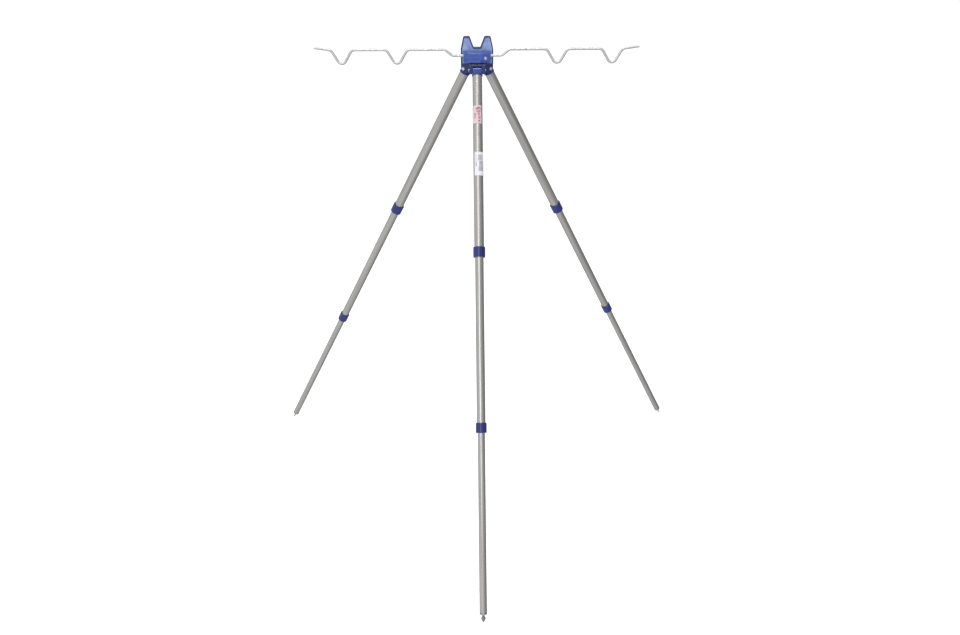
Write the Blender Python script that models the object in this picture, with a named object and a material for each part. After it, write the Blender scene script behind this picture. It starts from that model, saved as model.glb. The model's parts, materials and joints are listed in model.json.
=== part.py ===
"""Telescopic tripod that holds rods: a moulded head with a V fork, two folding wire arms with
V cradles, and three three-section aluminium legs with expanding twist locks.

Metres, +Z up, +Y away from the front leg. The origin is on the floor, in the middle of the
object's footprint. Every leg is modelled in its own frame: origin on its hinge pin, local -Z down
the leg, local X outwards and local Y along the pin.
"""

import math

import bmesh
import bpy
from mathutils import Matrix, Vector

# Fits between pieces
GAP = 0.0003  # between pieces that touch, or that are pressed together
RUNNING_GAP = 0.0006  # round what slides or turns
WIRE_GAP = 0.0005  # round the wire arms as they swing

# The legs as they stand
SPLAY = math.radians(29.5)
PIVOT_RADIUS = 0.026  # hinge pins from the tripod's axis
LEG_LENGTH = 1.2108  # hinge pin to spike tip
LEG_AZIMUTHS = {"front": -90.0, "left": 150.0, "right": 30.0}

# Telescopic tubes
UPPER_DIAMETER = 0.022
TUBE_WALL = 0.001
TUBE_SLIP = 0.0005  # between one tube and the next
UPPER_REACH = 0.4281  # hinge pin to the far end of the upper collar
MIDDLE_REACH = {"front": 0.8129, "left": 0.8089, "right": 0.7840}  # pin to the lower collar's end
MIDDLE_OVERLAP = 0.0469  # least length of middle tube left inside the upper one
LOWER_OVERLAP = 0.0402  # least length of lower tube left inside the middle one
TUBE_SIDES = 24
INNER_SIDES = 16

# Moulded collars on the tube ends
UPPER_COLLAR_LENGTH = 0.0228
LOWER_COLLAR_LENGTH = 0.0219
COLLAR_WALL = 0.0022
COLLAR_LIP = 0.0020
COLLAR_CHAMFER = 0.0010

# Expanding locks inside the tubes
LOCK_INSERT = 0.018
LOCK_FLANGE = 0.002
LOCK_CONE = 0.008
LOCK_LENGTH = 0.024
LOCK_STUD_RADIUS = 0.0032
LOCK_THREAD_DEPTH = 0.0005
LOCK_THREAD_PITCH = 0.0045
LOCK_SLIT = 0.0016

# Leg caps and their hinge pins
TONGUE_WIDTH = 0.020
TONGUE_HALF_DEPTH = 0.008
CAP_TOP = 0.0110  # hinge pin to the skirt's top face
CAP_SKIRT = 0.0026
CAP_WALL = 0.0010
CAP_INSERT = 0.014
PIN_RADIUS = 0.0026
RIVET_HEAD_RADIUS = 0.0040
RIVET_HEAD_HEIGHT = 0.0014

# Hub with its three clevises
CHEEK_THICKNESS = 0.0082
CHEEK_RADIUS = 0.009
CHEEK_REACH = 0.006  # hinge pin to the cheeks' outer ends
CROWN_THICKNESS = 0.004

# Fork plate. Heights are above the hinge pins.
PLATE_HALF_WIDTH = 0.0368
PLATE_FRONT = -0.0105
PLATE_BACK = 0.0055
SHOULDER_HEIGHT = 0.044
EAR_TOP = 0.072
EAR_OUTER = 0.0307
EAR_INNER = 0.0168
EAR_RADIUS = 0.004
NOTCH_HALF_WIDTH = 0.0077
NOTCH_HEIGHT = 0.048
RIM_WIDTH = 0.0024
FRONT_RECESS = 0.0015
BACK_RECESS = 0.0110
RIB_HALF_WIDTH = 0.0012

# Wire arms
WIRE_DIAMETER = 0.0062
ARM_PIVOT_X = 0.019
ARM_PIVOT_HEIGHT = 0.0258
EYELET_ARC = 280.0  # degrees of ring
WIRE_BEND = 0.011
CRADLE_BEND = 0.0099
STUB_END = 0.0555
STEP_END = 0.0735
ARM_HEIGHT = 0.0445
CRADLE_CENTRES = (0.1805, 0.3050)
CRADLE_HALF_WIDTH = 0.0235
CRADLE_DEPTH = 0.0394  # to the corner that the cradle's bend cuts off
ARM_END = (0.366, 0.050)

# Cover over the arms' pivots
COVER_HALF_WIDTH = 0.0304
COVER_BOTTOM = 0.0165
COVER_TOP = 0.0407
COVER_WALL = 0.0025
COVER_SLOPE = 0.0045
COVER_SIDE_GAP = 0.0019  # between the arms and its side walls
COVER_BULGE = 0.005
LIP_HEIGHT = 0.0060
LIP_DEPTH = 0.0028
LIP_START = -0.0280
LIP_END = 0.0080
BOSS_RADIUS = 0.0062
BOSS_DEPTH = 0.0030
SCREW_RADIUS = 0.0018
SCREW_HEAD_RADIUS = 0.0034
SCREW_HEAD_HEIGHT = 0.0022
SCREW_GRIP = 0.0085  # length in the plate
PEG_RADIUS = 0.0020
PEG_X = -0.0065
PEG_HEIGHT = 0.0225
PEG_GRIP = 0.0038

# Spiked feet
FOOT_LENGTH = 0.0193  # tube end to spike tip
FOOT_INSERT = 0.020
FOOT_FLANGE = 0.0026
SPIKE_NECK_RADIUS = 0.0024
SPIKE_SOCKET = 0.012
SPIKE_HALF_WIDTH = 0.0050
SPIKE_HALF_THICKNESS = 0.0017
SPIKE_TIP = 0.0005

# Stickers on the front leg: (name, top, bottom, turn), with top and bottom measured from the hinge
# pin and the turn of its middle in degrees from straight outwards
LABELS = (
    ("front_leg_label_upper", 0.0850, 0.1266, -30.0),
    ("front_leg_label_lower", 0.1920, 0.2457, 30.0),
)
LABEL_THICKNESS = 0.0003
LABEL_ARC = 150.0

# Worked out from the above
MIDDLE_DIAMETER = UPPER_DIAMETER - 2 * (TUBE_WALL + TUBE_SLIP)
LOWER_DIAMETER = MIDDLE_DIAMETER - 2 * (TUBE_WALL + TUBE_SLIP)
TUBE_SETBACK = COLLAR_LIP + GAP  # from a collar's far end to the end of its tube
TUBE_END = LEG_LENGTH - FOOT_LENGTH
MIDDLE_TUBE_LENGTH = max(MIDDLE_REACH.values()) - UPPER_REACH + MIDDLE_OVERLAP
LOWER_TUBE_LENGTH = TUBE_END - min(MIDDLE_REACH.values()) + TUBE_SETBACK + LOWER_OVERLAP
PIVOT_HEIGHT = LEG_LENGTH * math.cos(SPLAY)
FRONT_REACH = PIVOT_RADIUS + LEG_LENGTH * math.sin(SPLAY)
SIDE_REACH = (PIVOT_RADIUS + TUBE_END * math.sin(SPLAY)) / 2
SIDE_REACH += LOWER_DIAMETER / 2 * math.sqrt(1 - (math.sin(SPLAY) / 2) ** 2)
HUB_Y = (FRONT_REACH - SIDE_REACH) / 2
WIRE_RADIUS = WIRE_DIAMETER / 2
EYELET_RADIUS = SCREW_RADIUS + GAP + WIRE_RADIUS  # to the middle of the wire
COVER_SIDE_HEIGHT = ARM_PIVOT_HEIGHT + EYELET_RADIUS + WIRE_RADIUS + COVER_SIDE_GAP
WIRE_Y = PLATE_FRONT - WIRE_GAP - WIRE_RADIUS  # the plane in which both arms swing
SLOT_HALF_WIDTH = TONGUE_WIDTH / 2 + GAP
CHEEK_HALF_WIDTH = SLOT_HALF_WIDTH + CHEEK_THICKNESS
CROWN_BOTTOM = max(TONGUE_HALF_DEPTH + 2 * RUNNING_GAP, CHEEK_RADIUS)
CROWN_TOP = CROWN_BOTTOM + CROWN_THICKNESS
PLATE_BOTTOM = CROWN_BOTTOM + CROWN_THICKNESS / 4  # stands in the crown
HUB_REACH = PIVOT_RADIUS + CHEEK_REACH


# ------------------------------------------------------------------ materials and objects


def plain_material(name, colour, metallic, roughness):
    """A Principled BSDF with one colour."""
    material = bpy.data.materials.new(name)
    material.use_nodes = True
    shader = material.node_tree.nodes["Principled BSDF"]
    shader.inputs["Base Color"].default_value = (*colour, 1.0)
    shader.inputs["Metallic"].default_value = metallic
    shader.inputs["Roughness"].default_value = roughness
    return material


def make_materials():
    """Every finish of the object, by slot name."""
    return {
        "blue_plastic": plain_material("blue_plastic", (0.020, 0.045, 0.320), 0.0, 0.25),
        "tube_aluminium": plain_material("tube_aluminium", (0.62, 0.61, 0.60), 1.0, 0.32),
        "wire_steel": plain_material("wire_steel", (0.66, 0.67, 0.68), 1.0, 0.25),
        "bright_steel": plain_material("bright_steel", (0.75, 0.75, 0.78), 1.0, 0.20),
        "lock_plastic": plain_material("lock_plastic", (0.04, 0.04, 0.05), 0.0, 0.45),
        "sleeve_plastic": plain_material("sleeve_plastic", (0.60, 0.60, 0.57), 0.0, 0.50),
        "foot_zinc": plain_material("foot_zinc", (0.50, 0.50, 0.52), 1.0, 0.40),
        "label_paper": plain_material("label_paper", (0.85, 0.82, 0.82), 0.0, 0.45),
    }


def hold_point(name, location, rotation=(0.0, 0.0, 0.0)):
    """An empty that pieces are parented to."""
    empty = bpy.data.objects.new(name, None)
    empty.empty_display_size = 0.02
    empty.location = location
    empty.rotation_euler = rotation
    bpy.context.scene.collection.objects.link(empty)
    return empty


def finished(name, mesh, material, parent):
    """Shades a new mesh smooth up to sharp edges and links it as an object."""
    mesh.shade_smooth()
    mesh.set_sharp_from_angle(angle=math.radians(35))
    if material is not None:
        mesh.materials.append(material)
    piece = bpy.data.objects.new(name, mesh)
    piece.parent = parent
    bpy.context.scene.collection.objects.link(piece)
    return piece


def turned(name, profile, sides, material, parent):
    """A solid of revolution about local Z from (radius, height) points. A profile that leaves
    the axis and comes back to it is solid; any other is closed into a ring."""
    shape = bmesh.new()
    points = [shape.verts.new((radius, 0.0, height)) for radius, height in profile]
    edges = [shape.edges.new(pair) for pair in zip(points, points[1:])]
    if profile[0][0] > 0 or profile[-1][0] > 0:
        edges.append(shape.edges.new((points[-1], points[0])))
    bmesh.ops.spin(
        shape,
        geom=points + edges,
        cent=(0, 0, 0),
        axis=(0, 0, 1),
        angle=2 * math.pi,
        steps=sides,
        use_merge=True,
    )
    bmesh.ops.remove_doubles(shape, verts=shape.verts, dist=1e-6)
    bmesh.ops.recalc_face_normals(shape, faces=shape.faces)
    mesh = bpy.data.meshes.new(name)
    shape.to_mesh(mesh)
    shape.free()
    return finished(name, mesh, material, parent)


PLANES = {
    "XY": Matrix.Identity(3),
    "XZ": Matrix(((1, 0, 0), (0, 0, 1), (0, 1, 0))),
}


def extruded(name, outline, low, high, plane, material=None, parent=None):
    """A prism: the outline lies in the named plane and runs from low to high across it."""
    shape = bmesh.new()
    turn = PLANES[plane]
    face = shape.faces.new([shape.verts.new(turn @ Vector((u, v, low))) for u, v in outline])
    grown = bmesh.ops.extrude_face_region(shape, geom=[face])["geom"]
    moved = [item for item in grown if isinstance(item, bmesh.types.BMVert)]
    bmesh.ops.translate(shape, verts=moved, vec=turn @ Vector((0, 0, high - low)))
    bmesh.ops.recalc_face_normals(shape, faces=shape.faces)
    mesh = bpy.data.meshes.new(name)
    shape.to_mesh(mesh)
    shape.free()
    return finished(name, mesh, material, parent)


def block(name, low, high, parent=None):
    """A box between two corners, for cuts and joins."""
    outline = [(low[0], low[1]), (high[0], low[1]), (high[0], high[1]), (low[0], high[1])]
    return extruded(name, outline, low[2], high[2], "XY", None, parent)


def combine(piece, tool, operation):
    """Joins a tool to a piece, or cuts it away, with a live Boolean."""
    tool.hide_render = True
    tool.display_type = "WIRE"
    if tool.parent is None:
        tool.parent = piece
    modifier = piece.modifiers.new(tool.name, "BOOLEAN")
    modifier.operation = operation
    modifier.solver = "EXACT"
    modifier.object = tool


def cut(piece, tool):
    combine(piece, tool, "DIFFERENCE")


def join(piece, tool):
    combine(piece, tool, "UNION")


def arc(centre, radius, start, end, steps):
    """Points on an arc between two angles in degrees."""
    angles = [math.radians(start + (end - start) * i / steps) for i in range(steps + 1)]
    return [(centre[0] + radius * math.cos(a), centre[1] + radius * math.sin(a)) for a in angles]


def rounded(corners, steps=4):
    """An outline from (x, y, radius) corners, with every corner turned into an arc."""
    outline = []
    count = len(corners)
    for index, (x, y, radius) in enumerate(corners):
        here = Vector((x, y))
        before = (Vector(corners[index - 1][:2]) - here).normalized()
        after = (Vector(corners[(index + 1) % count][:2]) - here).normalized()
        outline += corner_arc(here, before, after, radius, steps)
    return outline


def corner_arc(here, before, after, radius, steps):
    """The points that round one corner, between the directions to its two neighbours."""
    half = before.angle(after) / 2
    if radius == 0 or half > math.radians(89):
        return [tuple(here)]
    centre = here + (before + after).normalized() * (radius / math.sin(half))
    first = here + before * (radius / math.tan(half)) - centre
    last = here + after * (radius / math.tan(half)) - centre
    turn = first.angle_signed(last)
    return [tuple(centre + Matrix.Rotation(-turn * i / steps, 2) @ first) for i in range(steps + 1)]


# ------------------------------------------------------------------ head


def tongue_outline():
    """The tongue's profile in the leg's XZ plane: square towards the hub, round outwards."""
    depth = TONGUE_HALF_DEPTH
    foot = -CAP_TOP - CAP_WALL / 2
    return [(-depth, foot), (-depth, depth)] + arc((0, 0), depth, 90, 0, 8) + [(depth, foot)]


def core_wall():
    """How far the hub's core stands from the axis, so that it stops the tongues when open."""
    reach = max(z * math.sin(SPLAY) - x * math.cos(SPLAY) for x, z in tongue_outline())
    return PIVOT_RADIUS - reach - GAP


def fork_outline(inset=0.0):
    """The plate with its two ears, seen from the front."""
    half = PLATE_HALF_WIDTH - inset
    slope = (EAR_INNER - NOTCH_HALF_WIDTH) / (EAR_TOP - NOTCH_HEIGHT)
    inner = inset * math.sqrt(1 + slope * slope)
    top = EAR_TOP - inset
    radius = max(EAR_RADIUS - inset, 0.0012)
    notch = NOTCH_HEIGHT - inset
    foot = NOTCH_HALF_WIDTH + inner - slope * inset
    tip = EAR_INNER + inner - slope * inset
    outer = EAR_OUTER - inset
    right = [
        (half, PLATE_BOTTOM + inset, 0.001),
        (half, SHOULDER_HEIGHT, 0.012),
        (outer, top, radius),
        (tip, top, radius),
        (foot, notch, 0.001),
    ]
    left = [(-x, z, r) for x, z, r in reversed(right)]
    return rounded(right + left)


def rear_pockets():
    """The hollows moulded into the back of the plate, between its ribs."""
    outline = fork_outline(RIM_WIDTH)
    low, high = PLATE_BACK - BACK_RECESS, PLATE_BACK + GAP * 4
    pocket = extruded("cut_back_pockets", outline, low, high, "XZ")
    ribs = [
        ((-NOTCH_HALF_WIDTH, PLATE_BOTTOM), (-NOTCH_HALF_WIDTH, EAR_TOP)),
        ((NOTCH_HALF_WIDTH, PLATE_BOTTOM), (NOTCH_HALF_WIDTH, EAR_TOP)),
        ((-PLATE_HALF_WIDTH, CROWN_TOP), (PLATE_HALF_WIDTH, CROWN_TOP)),
        ((-PLATE_HALF_WIDTH, SHOULDER_HEIGHT), (PLATE_HALF_WIDTH, SHOULDER_HEIGHT)),
    ]
    for number, ((x0, z0), (x1, z1)) in enumerate(ribs):
        corner = (x0 - RIB_HALF_WIDTH, low - GAP, z0 - RIB_HALF_WIDTH)
        opposite = (x1 + RIB_HALF_WIDTH, high + GAP, z1 + RIB_HALF_WIDTH)
        cut(pocket, block(f"rib_{number}", corner, opposite))
    return pocket


def make_head(materials, hub):
    """The moulded head: fork plate, crown, core and three clevises, in one piece."""
    outline = fork_outline()
    head = extruded(
        "head_body", outline, PLATE_FRONT, PLATE_BACK, "XZ", materials["blue_plastic"], hub
    )
    front = extruded(
        "cut_front_recess", fork_outline(RIM_WIDTH), PLATE_FRONT - 0.002,
        PLATE_FRONT + FRONT_RECESS, "XZ",
    )
    cut(head, front)
    cut(head, rear_pockets())
    for x in (-ARM_PIVOT_X, ARM_PIVOT_X):
        pad = turned(f"join_pad_{x:.3f}", pad_profile(), INNER_SIDES, None, None)
        pad.location = (x, 0, ARM_PIVOT_HEIGHT)
        pad.rotation_euler = (math.pi / 2, 0, 0)
        join(head, pad)
    for side, azimuth in LEG_AZIMUTHS.items():
        join(head, clevis_block(side, azimuth))
    for side, azimuth in LEG_AZIMUTHS.items():
        slot = block(
            f"cut_slot_{side}",
            (core_wall(), -SLOT_HALF_WIDTH, -CHEEK_RADIUS - 0.01),
            (HUB_REACH + 0.02, SLOT_HALF_WIDTH, CROWN_BOTTOM),
        )
        slot.rotation_euler = (0, 0, math.radians(azimuth))
        cut(head, slot)
        cut(head, pin_hole(side, azimuth))
    for x in (-ARM_PIVOT_X, ARM_PIVOT_X):
        place = (x, 0, ARM_PIVOT_HEIGHT)
        cut(head, front_hole(f"cut_pivot_{x:.3f}", place, SCREW_RADIUS + GAP, SCREW_GRIP))
    place = (PEG_X, 0, PEG_HEIGHT)
    cut(head, front_hole("cut_peg", place, PEG_RADIUS + GAP, PEG_GRIP))
    return head


def pad_profile():
    """A raised pad on the plate's face that the eyelet lies against."""
    depth = -PLATE_FRONT
    return [(0, 0), (BOSS_RADIUS, 0), (BOSS_RADIUS, depth), (0, depth)]


def clevis_block(side, azimuth):
    """Both cheeks and the crown over one leg, before the slot is cut."""
    outline = arc((PIVOT_RADIUS, 0), CHEEK_RADIUS, -90, 0, 6)
    outline = [(min(x, HUB_REACH), z) for x, z in outline]
    outline += [(HUB_REACH, CROWN_TOP), (0, CROWN_TOP), (0, -CHEEK_RADIUS)]
    piece = extruded(f"join_clevis_{side}", outline, -CHEEK_HALF_WIDTH, CHEEK_HALF_WIDTH, "XZ")
    piece.rotation_euler = (0, 0, math.radians(azimuth))
    return piece


def pin_hole(side, azimuth):
    """The hole for one hinge pin."""
    reach = CHEEK_HALF_WIDTH + 0.02
    radius = PIN_RADIUS + GAP
    profile = [(0, -reach), (radius, -reach), (radius, reach), (0, reach)]
    tool = turned(f"cut_pin_{side}", profile, INNER_SIDES, None, None)
    angle = math.radians(azimuth)
    tool.location = (PIVOT_RADIUS * math.cos(angle), PIVOT_RADIUS * math.sin(angle), 0)
    tool.rotation_euler = (math.pi / 2, 0, angle)
    return tool


def front_hole(name, place, radius, depth):
    """A blind hole bored into the plate from its front rim's plane."""
    mouth = -WIRE_Y + WIRE_DIAMETER
    floor = -PLATE_FRONT - depth
    profile = [(0, floor), (radius, floor), (radius, mouth), (0, mouth)]
    tool = turned(name, profile, INNER_SIDES, None, None)
    tool.location = place
    tool.rotation_euler = (math.pi / 2, 0, 0)
    return tool


# ------------------------------------------------------------------ cover, screw and rivet


def cover_front(x, inset=0.0):
    """The y of the cover's bulged front face at this x."""
    ends = WIRE_Y - WIRE_RADIUS - WIRE_GAP - COVER_WALL - COVER_BULGE
    return ends + COVER_BULGE * (x / COVER_HALF_WIDTH) ** 2 + inset


def cover_plan(inset, half, back):
    """The cover from above: a bulged front and a straight back."""
    steps = 13
    xs = [-half + 2 * half * i / steps for i in range(steps + 1)]
    return [(x, cover_front(x, inset)) for x in xs] + [(half, back), (-half, back)]


def make_cover(materials, hub):
    """The moulded cover that clamps the arms' eyelets, with its lip and screw boss."""
    back = PLATE_FRONT - GAP
    plan = cover_plan(0.0, COVER_HALF_WIDTH, back)
    cover = extruded(
        "arm_cover", plan, COVER_BOTTOM, COVER_TOP, "XY", materials["blue_plastic"], hub
    )
    slope_top = cover_slope_cutter()
    cut(cover, slope_top)
    inside = extruded(
        "cut_inside",
        cover_plan(COVER_WALL, COVER_HALF_WIDTH - COVER_WALL, back + 0.002),
        COVER_BOTTOM - 0.002,
        COVER_TOP - COVER_WALL,
        "XY",
    )
    cut(cover, inside)
    side_front = cover_front(COVER_HALF_WIDTH, COVER_WALL)
    for hand in (-1, 1):
        near = hand * (COVER_HALF_WIDTH - COVER_WALL - 0.001)
        far = hand * (COVER_HALF_WIDTH + 0.002)
        swing = block(
            f"cut_swing_{hand}",
            (min(near, far), side_front, COVER_BOTTOM - 0.004),
            (max(near, far), back + 0.004, COVER_SIDE_HEIGHT),
        )
        cut(cover, swing)
    join(cover, cover_lip())
    join(cover, cover_boss())
    peg_profile = [(0, 0), (PEG_RADIUS, 0), (PEG_RADIUS, 1), (0, 1)]
    start = -PLATE_FRONT - PEG_GRIP + GAP
    end = -cover_front(PEG_X, COVER_WALL / 2)
    peg_profile = [(r, start + z * (end - start)) for r, z in peg_profile]
    peg = turned("join_peg", peg_profile, INNER_SIDES, None, None)
    peg.location = (PEG_X, 0, PEG_HEIGHT)
    peg.rotation_euler = (math.pi / 2, 0, 0)
    join(cover, peg)
    for tool in screw_cutters():
        cut(cover, tool)
    return cover


def cover_slope_cutter():
    """What is cut away to slope the cover's top front edge."""
    front = cover_front(0)
    run = COVER_SLOPE * 1.3
    plan = cover_plan(0.0, COVER_HALF_WIDTH + 0.004, front - 0.01)
    shape = bmesh.new()
    edge = plan[:-2]
    beyond = 0.002
    rise = COVER_SLOPE * beyond / run
    top = COVER_TOP + 0.004
    rows = (
        [(x, y - beyond, COVER_TOP - COVER_SLOPE - rise) for x, y in edge],
        [(x, y + run + beyond, COVER_TOP + rise) for x, y in edge],
        [(x, y + run + beyond, top) for x, y in edge],
        [(x, y - beyond, top) for x, y in edge],
    )
    rings = [[shape.verts.new(point) for point in row] for row in rows]
    for first, second in zip(rings, rings[1:] + rings[:1]):
        for i in range(len(edge) - 1):
            shape.faces.new((first[i], first[i + 1], second[i + 1], second[i]))
    shape.faces.new([ring[0] for ring in rings])
    shape.faces.new([ring[-1] for ring in rings])
    bmesh.ops.recalc_face_normals(shape, faces=shape.faces)
    mesh = bpy.data.meshes.new("cut_slope")
    shape.to_mesh(mesh)
    shape.free()
    return finished("cut_slope", mesh, None, None)


def cover_lip():
    """The finger lip along the cover's lower front edge."""
    steps = 8
    xs = [LIP_START + (LIP_END - LIP_START) * i / steps for i in range(steps + 1)]
    outer = [(x, cover_front(x) - LIP_DEPTH) for x in xs]
    inner = [(x, cover_front(x, COVER_WALL / 2)) for x in (LIP_END + 0.004, LIP_START)]
    bottom = COVER_BOTTOM - 0.0004
    return extruded("join_lip", outer + inner, bottom, bottom + LIP_HEIGHT, "XY")


def boss_front():
    """How far forward of the hub's axis the screw boss reaches."""
    return -cover_front(ARM_PIVOT_X) + BOSS_DEPTH


def cover_boss():
    """The round boss that takes the screw and presses on the right arm's eyelet."""
    inner = -(WIRE_Y - WIRE_RADIUS - GAP)
    profile = [(0, inner), (BOSS_RADIUS, inner), (BOSS_RADIUS, boss_front() - 0.0008)]
    profile += [(BOSS_RADIUS - 0.0008, boss_front()), (0, boss_front())]
    boss = turned("join_boss", profile, TUBE_SIDES, None, None)
    boss.location = (ARM_PIVOT_X, 0, ARM_PIVOT_HEIGHT)
    boss.rotation_euler = (math.pi / 2, 0, 0)
    return boss


def screw_cutters():
    """The screw's clearance hole and the recess for its head."""
    inner = -WIRE_Y
    front = boss_front() + 0.001
    seat = boss_front() - SCREW_HEAD_HEIGHT
    sizes = (("cut_screw", SCREW_RADIUS, inner), ("cut_head", SCREW_HEAD_RADIUS, seat))
    tools = []
    for name, radius, start in sizes:
        profile = [(0, start), (radius + GAP, start), (radius + GAP, front), (0, front)]
        tool = turned(name, profile, INNER_SIDES, None, None)
        tool.location = (ARM_PIVOT_X, 0, ARM_PIVOT_HEIGHT)
        tool.rotation_euler = (math.pi / 2, 0, 0)
        tools.append(tool)
    return tools


def make_cover_screw(materials, hub):
    """The screw that clamps the cover and is the right arm's pivot."""
    tip = -PLATE_FRONT - SCREW_GRIP + 2 * GAP
    seat = boss_front() - SCREW_HEAD_HEIGHT + GAP
    crown = seat + SCREW_HEAD_HEIGHT
    profile = [
        (0, tip), (SCREW_RADIUS - 0.0006, tip), (SCREW_RADIUS, tip + 0.0008),
        (SCREW_RADIUS, seat), (SCREW_HEAD_RADIUS, seat), (SCREW_HEAD_RADIUS, seat + 0.0012),
        (SCREW_HEAD_RADIUS * 0.72, crown - 0.0002), (0, crown),
    ]
    screw = turned("cover_screw", profile, INNER_SIDES, materials["bright_steel"], hub)
    screw.location = (ARM_PIVOT_X, 0, ARM_PIVOT_HEIGHT)
    screw.rotation_euler = (math.pi / 2, 0, 0)
    depth = SCREW_HEAD_HEIGHT * 0.55
    for number, angle in enumerate((0, math.pi / 2)):
        slot = block(
            f"cut_drive_{number}", (-0.0022, -0.0005, crown - depth), (0.0022, 0.0005, crown + 0.001)
        )
        slot.rotation_euler = (0, 0, angle)
        cut(screw, slot)
    return screw


def make_arm_rivet(materials, hub):
    """The headed pivot of the left arm, hidden under the cover."""
    tip = -PLATE_FRONT - SCREW_GRIP + 2 * GAP
    seat = -(WIRE_Y - WIRE_RADIUS) + GAP
    profile = [
        (0, tip), (SCREW_RADIUS - 0.0006, tip), (SCREW_RADIUS, tip + 0.0008),
        (SCREW_RADIUS, seat), (SCREW_HEAD_RADIUS, seat), (SCREW_HEAD_RADIUS, seat + 0.0008),
        (SCREW_HEAD_RADIUS * 0.6, seat + 0.0014), (0, seat + 0.0015),
    ]
    rivet = turned("left_arm_pivot_pin", profile, INNER_SIDES, materials["bright_steel"], hub)
    rivet.location = (-ARM_PIVOT_X, 0, ARM_PIVOT_HEIGHT)
    rivet.rotation_euler = (math.pi / 2, 0, 0)
    return rivet


# ------------------------------------------------------------------ wire arms


def arm_route():
    """The right arm's middle line in XZ, from the eyelet's free end to the arm's end, measured
    from the pivot."""
    ring = arc((0, 0), EYELET_RADIUS, 90 + EYELET_ARC, 90, 12)
    level = ARM_HEIGHT - ARM_PIVOT_HEIGHT
    stub = EYELET_RADIUS
    corners = [(STUB_END, stub, WIRE_BEND), (STEP_END, level, WIRE_BEND)]
    for centre in CRADLE_CENTRES:
        corners += [
            (centre - CRADLE_HALF_WIDTH, level, WIRE_BEND),
            (centre, level - CRADLE_DEPTH, CRADLE_BEND),
            (centre + CRADLE_HALF_WIDTH, level, WIRE_BEND),
        ]
    corners = [(x - ARM_PIVOT_X, z, radius) for x, z, radius in corners]
    end = (ARM_END[0] - ARM_PIVOT_X, ARM_END[1] - ARM_PIVOT_HEIGHT)
    points = [Vector(ring[-1])] + [Vector(c[:2]) for c in corners] + [Vector(end)]
    route = [Vector(p) for p in ring]
    for index, (_, _, radius) in enumerate(corners, start=1):
        here = points[index]
        before = (points[index - 1] - here).normalized()
        after = (points[index + 1] - here).normalized()
        route += [Vector(p) for p in corner_arc(here, before, after, radius, 4)]
    return route + [Vector(end)]


def make_arm(name, hand, materials, hub):
    """One bent wire arm. Its origin is on the pivot, and hand is +1 on the right."""
    route = arm_route()
    curve = bpy.data.curves.new(name, "CURVE")
    curve.dimensions = "3D"
    curve.twist_mode = "MINIMUM"
    curve.bevel_depth = WIRE_RADIUS
    curve.bevel_resolution = 2
    curve.use_fill_caps = True
    spline = curve.splines.new("POLY")
    spline.points.add(len(route) - 1)
    for point, place in zip(spline.points, route):
        point.co = (hand * place.x, 0.0, place.y, 1.0)
    curve.materials.append(materials["wire_steel"])
    arm = bpy.data.objects.new(name, curve)
    arm.parent = hub
    arm.location = (hand * ARM_PIVOT_X, WIRE_Y, ARM_PIVOT_HEIGHT)
    bpy.context.scene.collection.objects.link(arm)
    return arm


# ------------------------------------------------------------------ legs


def make_leg_cap(side, materials, frame):
    """The moulded cap on a leg's top: hinge tongue, skirt over the tube and plug inside it."""
    outer = UPPER_DIAMETER / 2
    inner = outer - TUBE_WALL
    skirt = outer + GAP + CAP_WALL
    bottom = -CAP_TOP - CAP_SKIRT
    roof = -CAP_TOP - CAP_WALL
    plug_end = bottom - CAP_INSERT
    profile = [
        (0, -CAP_TOP), (skirt - 0.001, -CAP_TOP), (skirt, -CAP_TOP - 0.001), (skirt, bottom),
        (outer + GAP, bottom), (outer + GAP, roof), (inner - GAP, roof),
        (inner - GAP, plug_end + 0.001), (inner - GAP - 0.001, plug_end), (0, plug_end),
    ]
    cap = turned(f"{side}_leg_cap", profile, TUBE_SIDES, materials["blue_plastic"], frame)
    half = TONGUE_WIDTH / 2
    tongue = extruded(f"join_tongue_{side}", tongue_outline(), -half, half, "XZ")
    join(cap, tongue)
    reach = half + 0.002
    radius = PIN_RADIUS + GAP
    profile = [(0, -reach), (radius, -reach), (radius, reach), (0, reach)]
    hole = turned(f"cut_tongue_{side}", profile, INNER_SIDES, None, None)
    hole.rotation_euler = (math.pi / 2, 0, 0)
    cut(cap, hole)
    return cap


def make_leg_pin(side, materials, frame):
    """The riveted hinge pin through both cheeks and the tongue."""
    face = CHEEK_HALF_WIDTH + GAP
    crown = face + RIVET_HEAD_HEIGHT
    half = [(PIN_RADIUS, face), (RIVET_HEAD_RADIUS, face), (RIVET_HEAD_RADIUS, face + 0.0005)]
    half += [(RIVET_HEAD_RADIUS * 0.7, crown - 0.0002), (0, crown)]
    profile = [(r, -z) for r, z in reversed(half)] + half
    pin = turned(f"{side}_leg_pin", profile, INNER_SIDES, materials["bright_steel"], frame)
    pin.rotation_euler = (math.pi / 2, 0, 0)
    return pin


def make_tube(name, diameter, top, bottom, materials, frame):
    """One length of tube, between two distances from the hinge pin."""
    outer = diameter / 2
    inner = outer - TUBE_WALL
    profile = [(outer, -top), (outer, -bottom), (inner, -bottom), (inner, -top)]
    return turned(name, profile, TUBE_SIDES, materials["tube_aluminium"], frame)


def make_collar(name, diameter, inner_diameter, bottom, length, materials, frame):
    """The moulded collar pressed on a tube's end, with a lip under the end."""
    bore = diameter / 2 + GAP
    outer = bore + COLLAR_WALL
    lip = inner_diameter / 2 + GAP
    top = bottom - length
    edge = COLLAR_CHAMFER
    profile = [
        (bore, -top), (outer - edge, -top), (outer, -top - edge),
        (outer, -bottom + edge), (outer - edge, -bottom), (lip, -bottom),
        (lip, -bottom + COLLAR_LIP), (bore, -bottom + COLLAR_LIP),
    ]
    return turned(name, profile, TUBE_SIDES, materials["blue_plastic"], frame)


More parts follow.
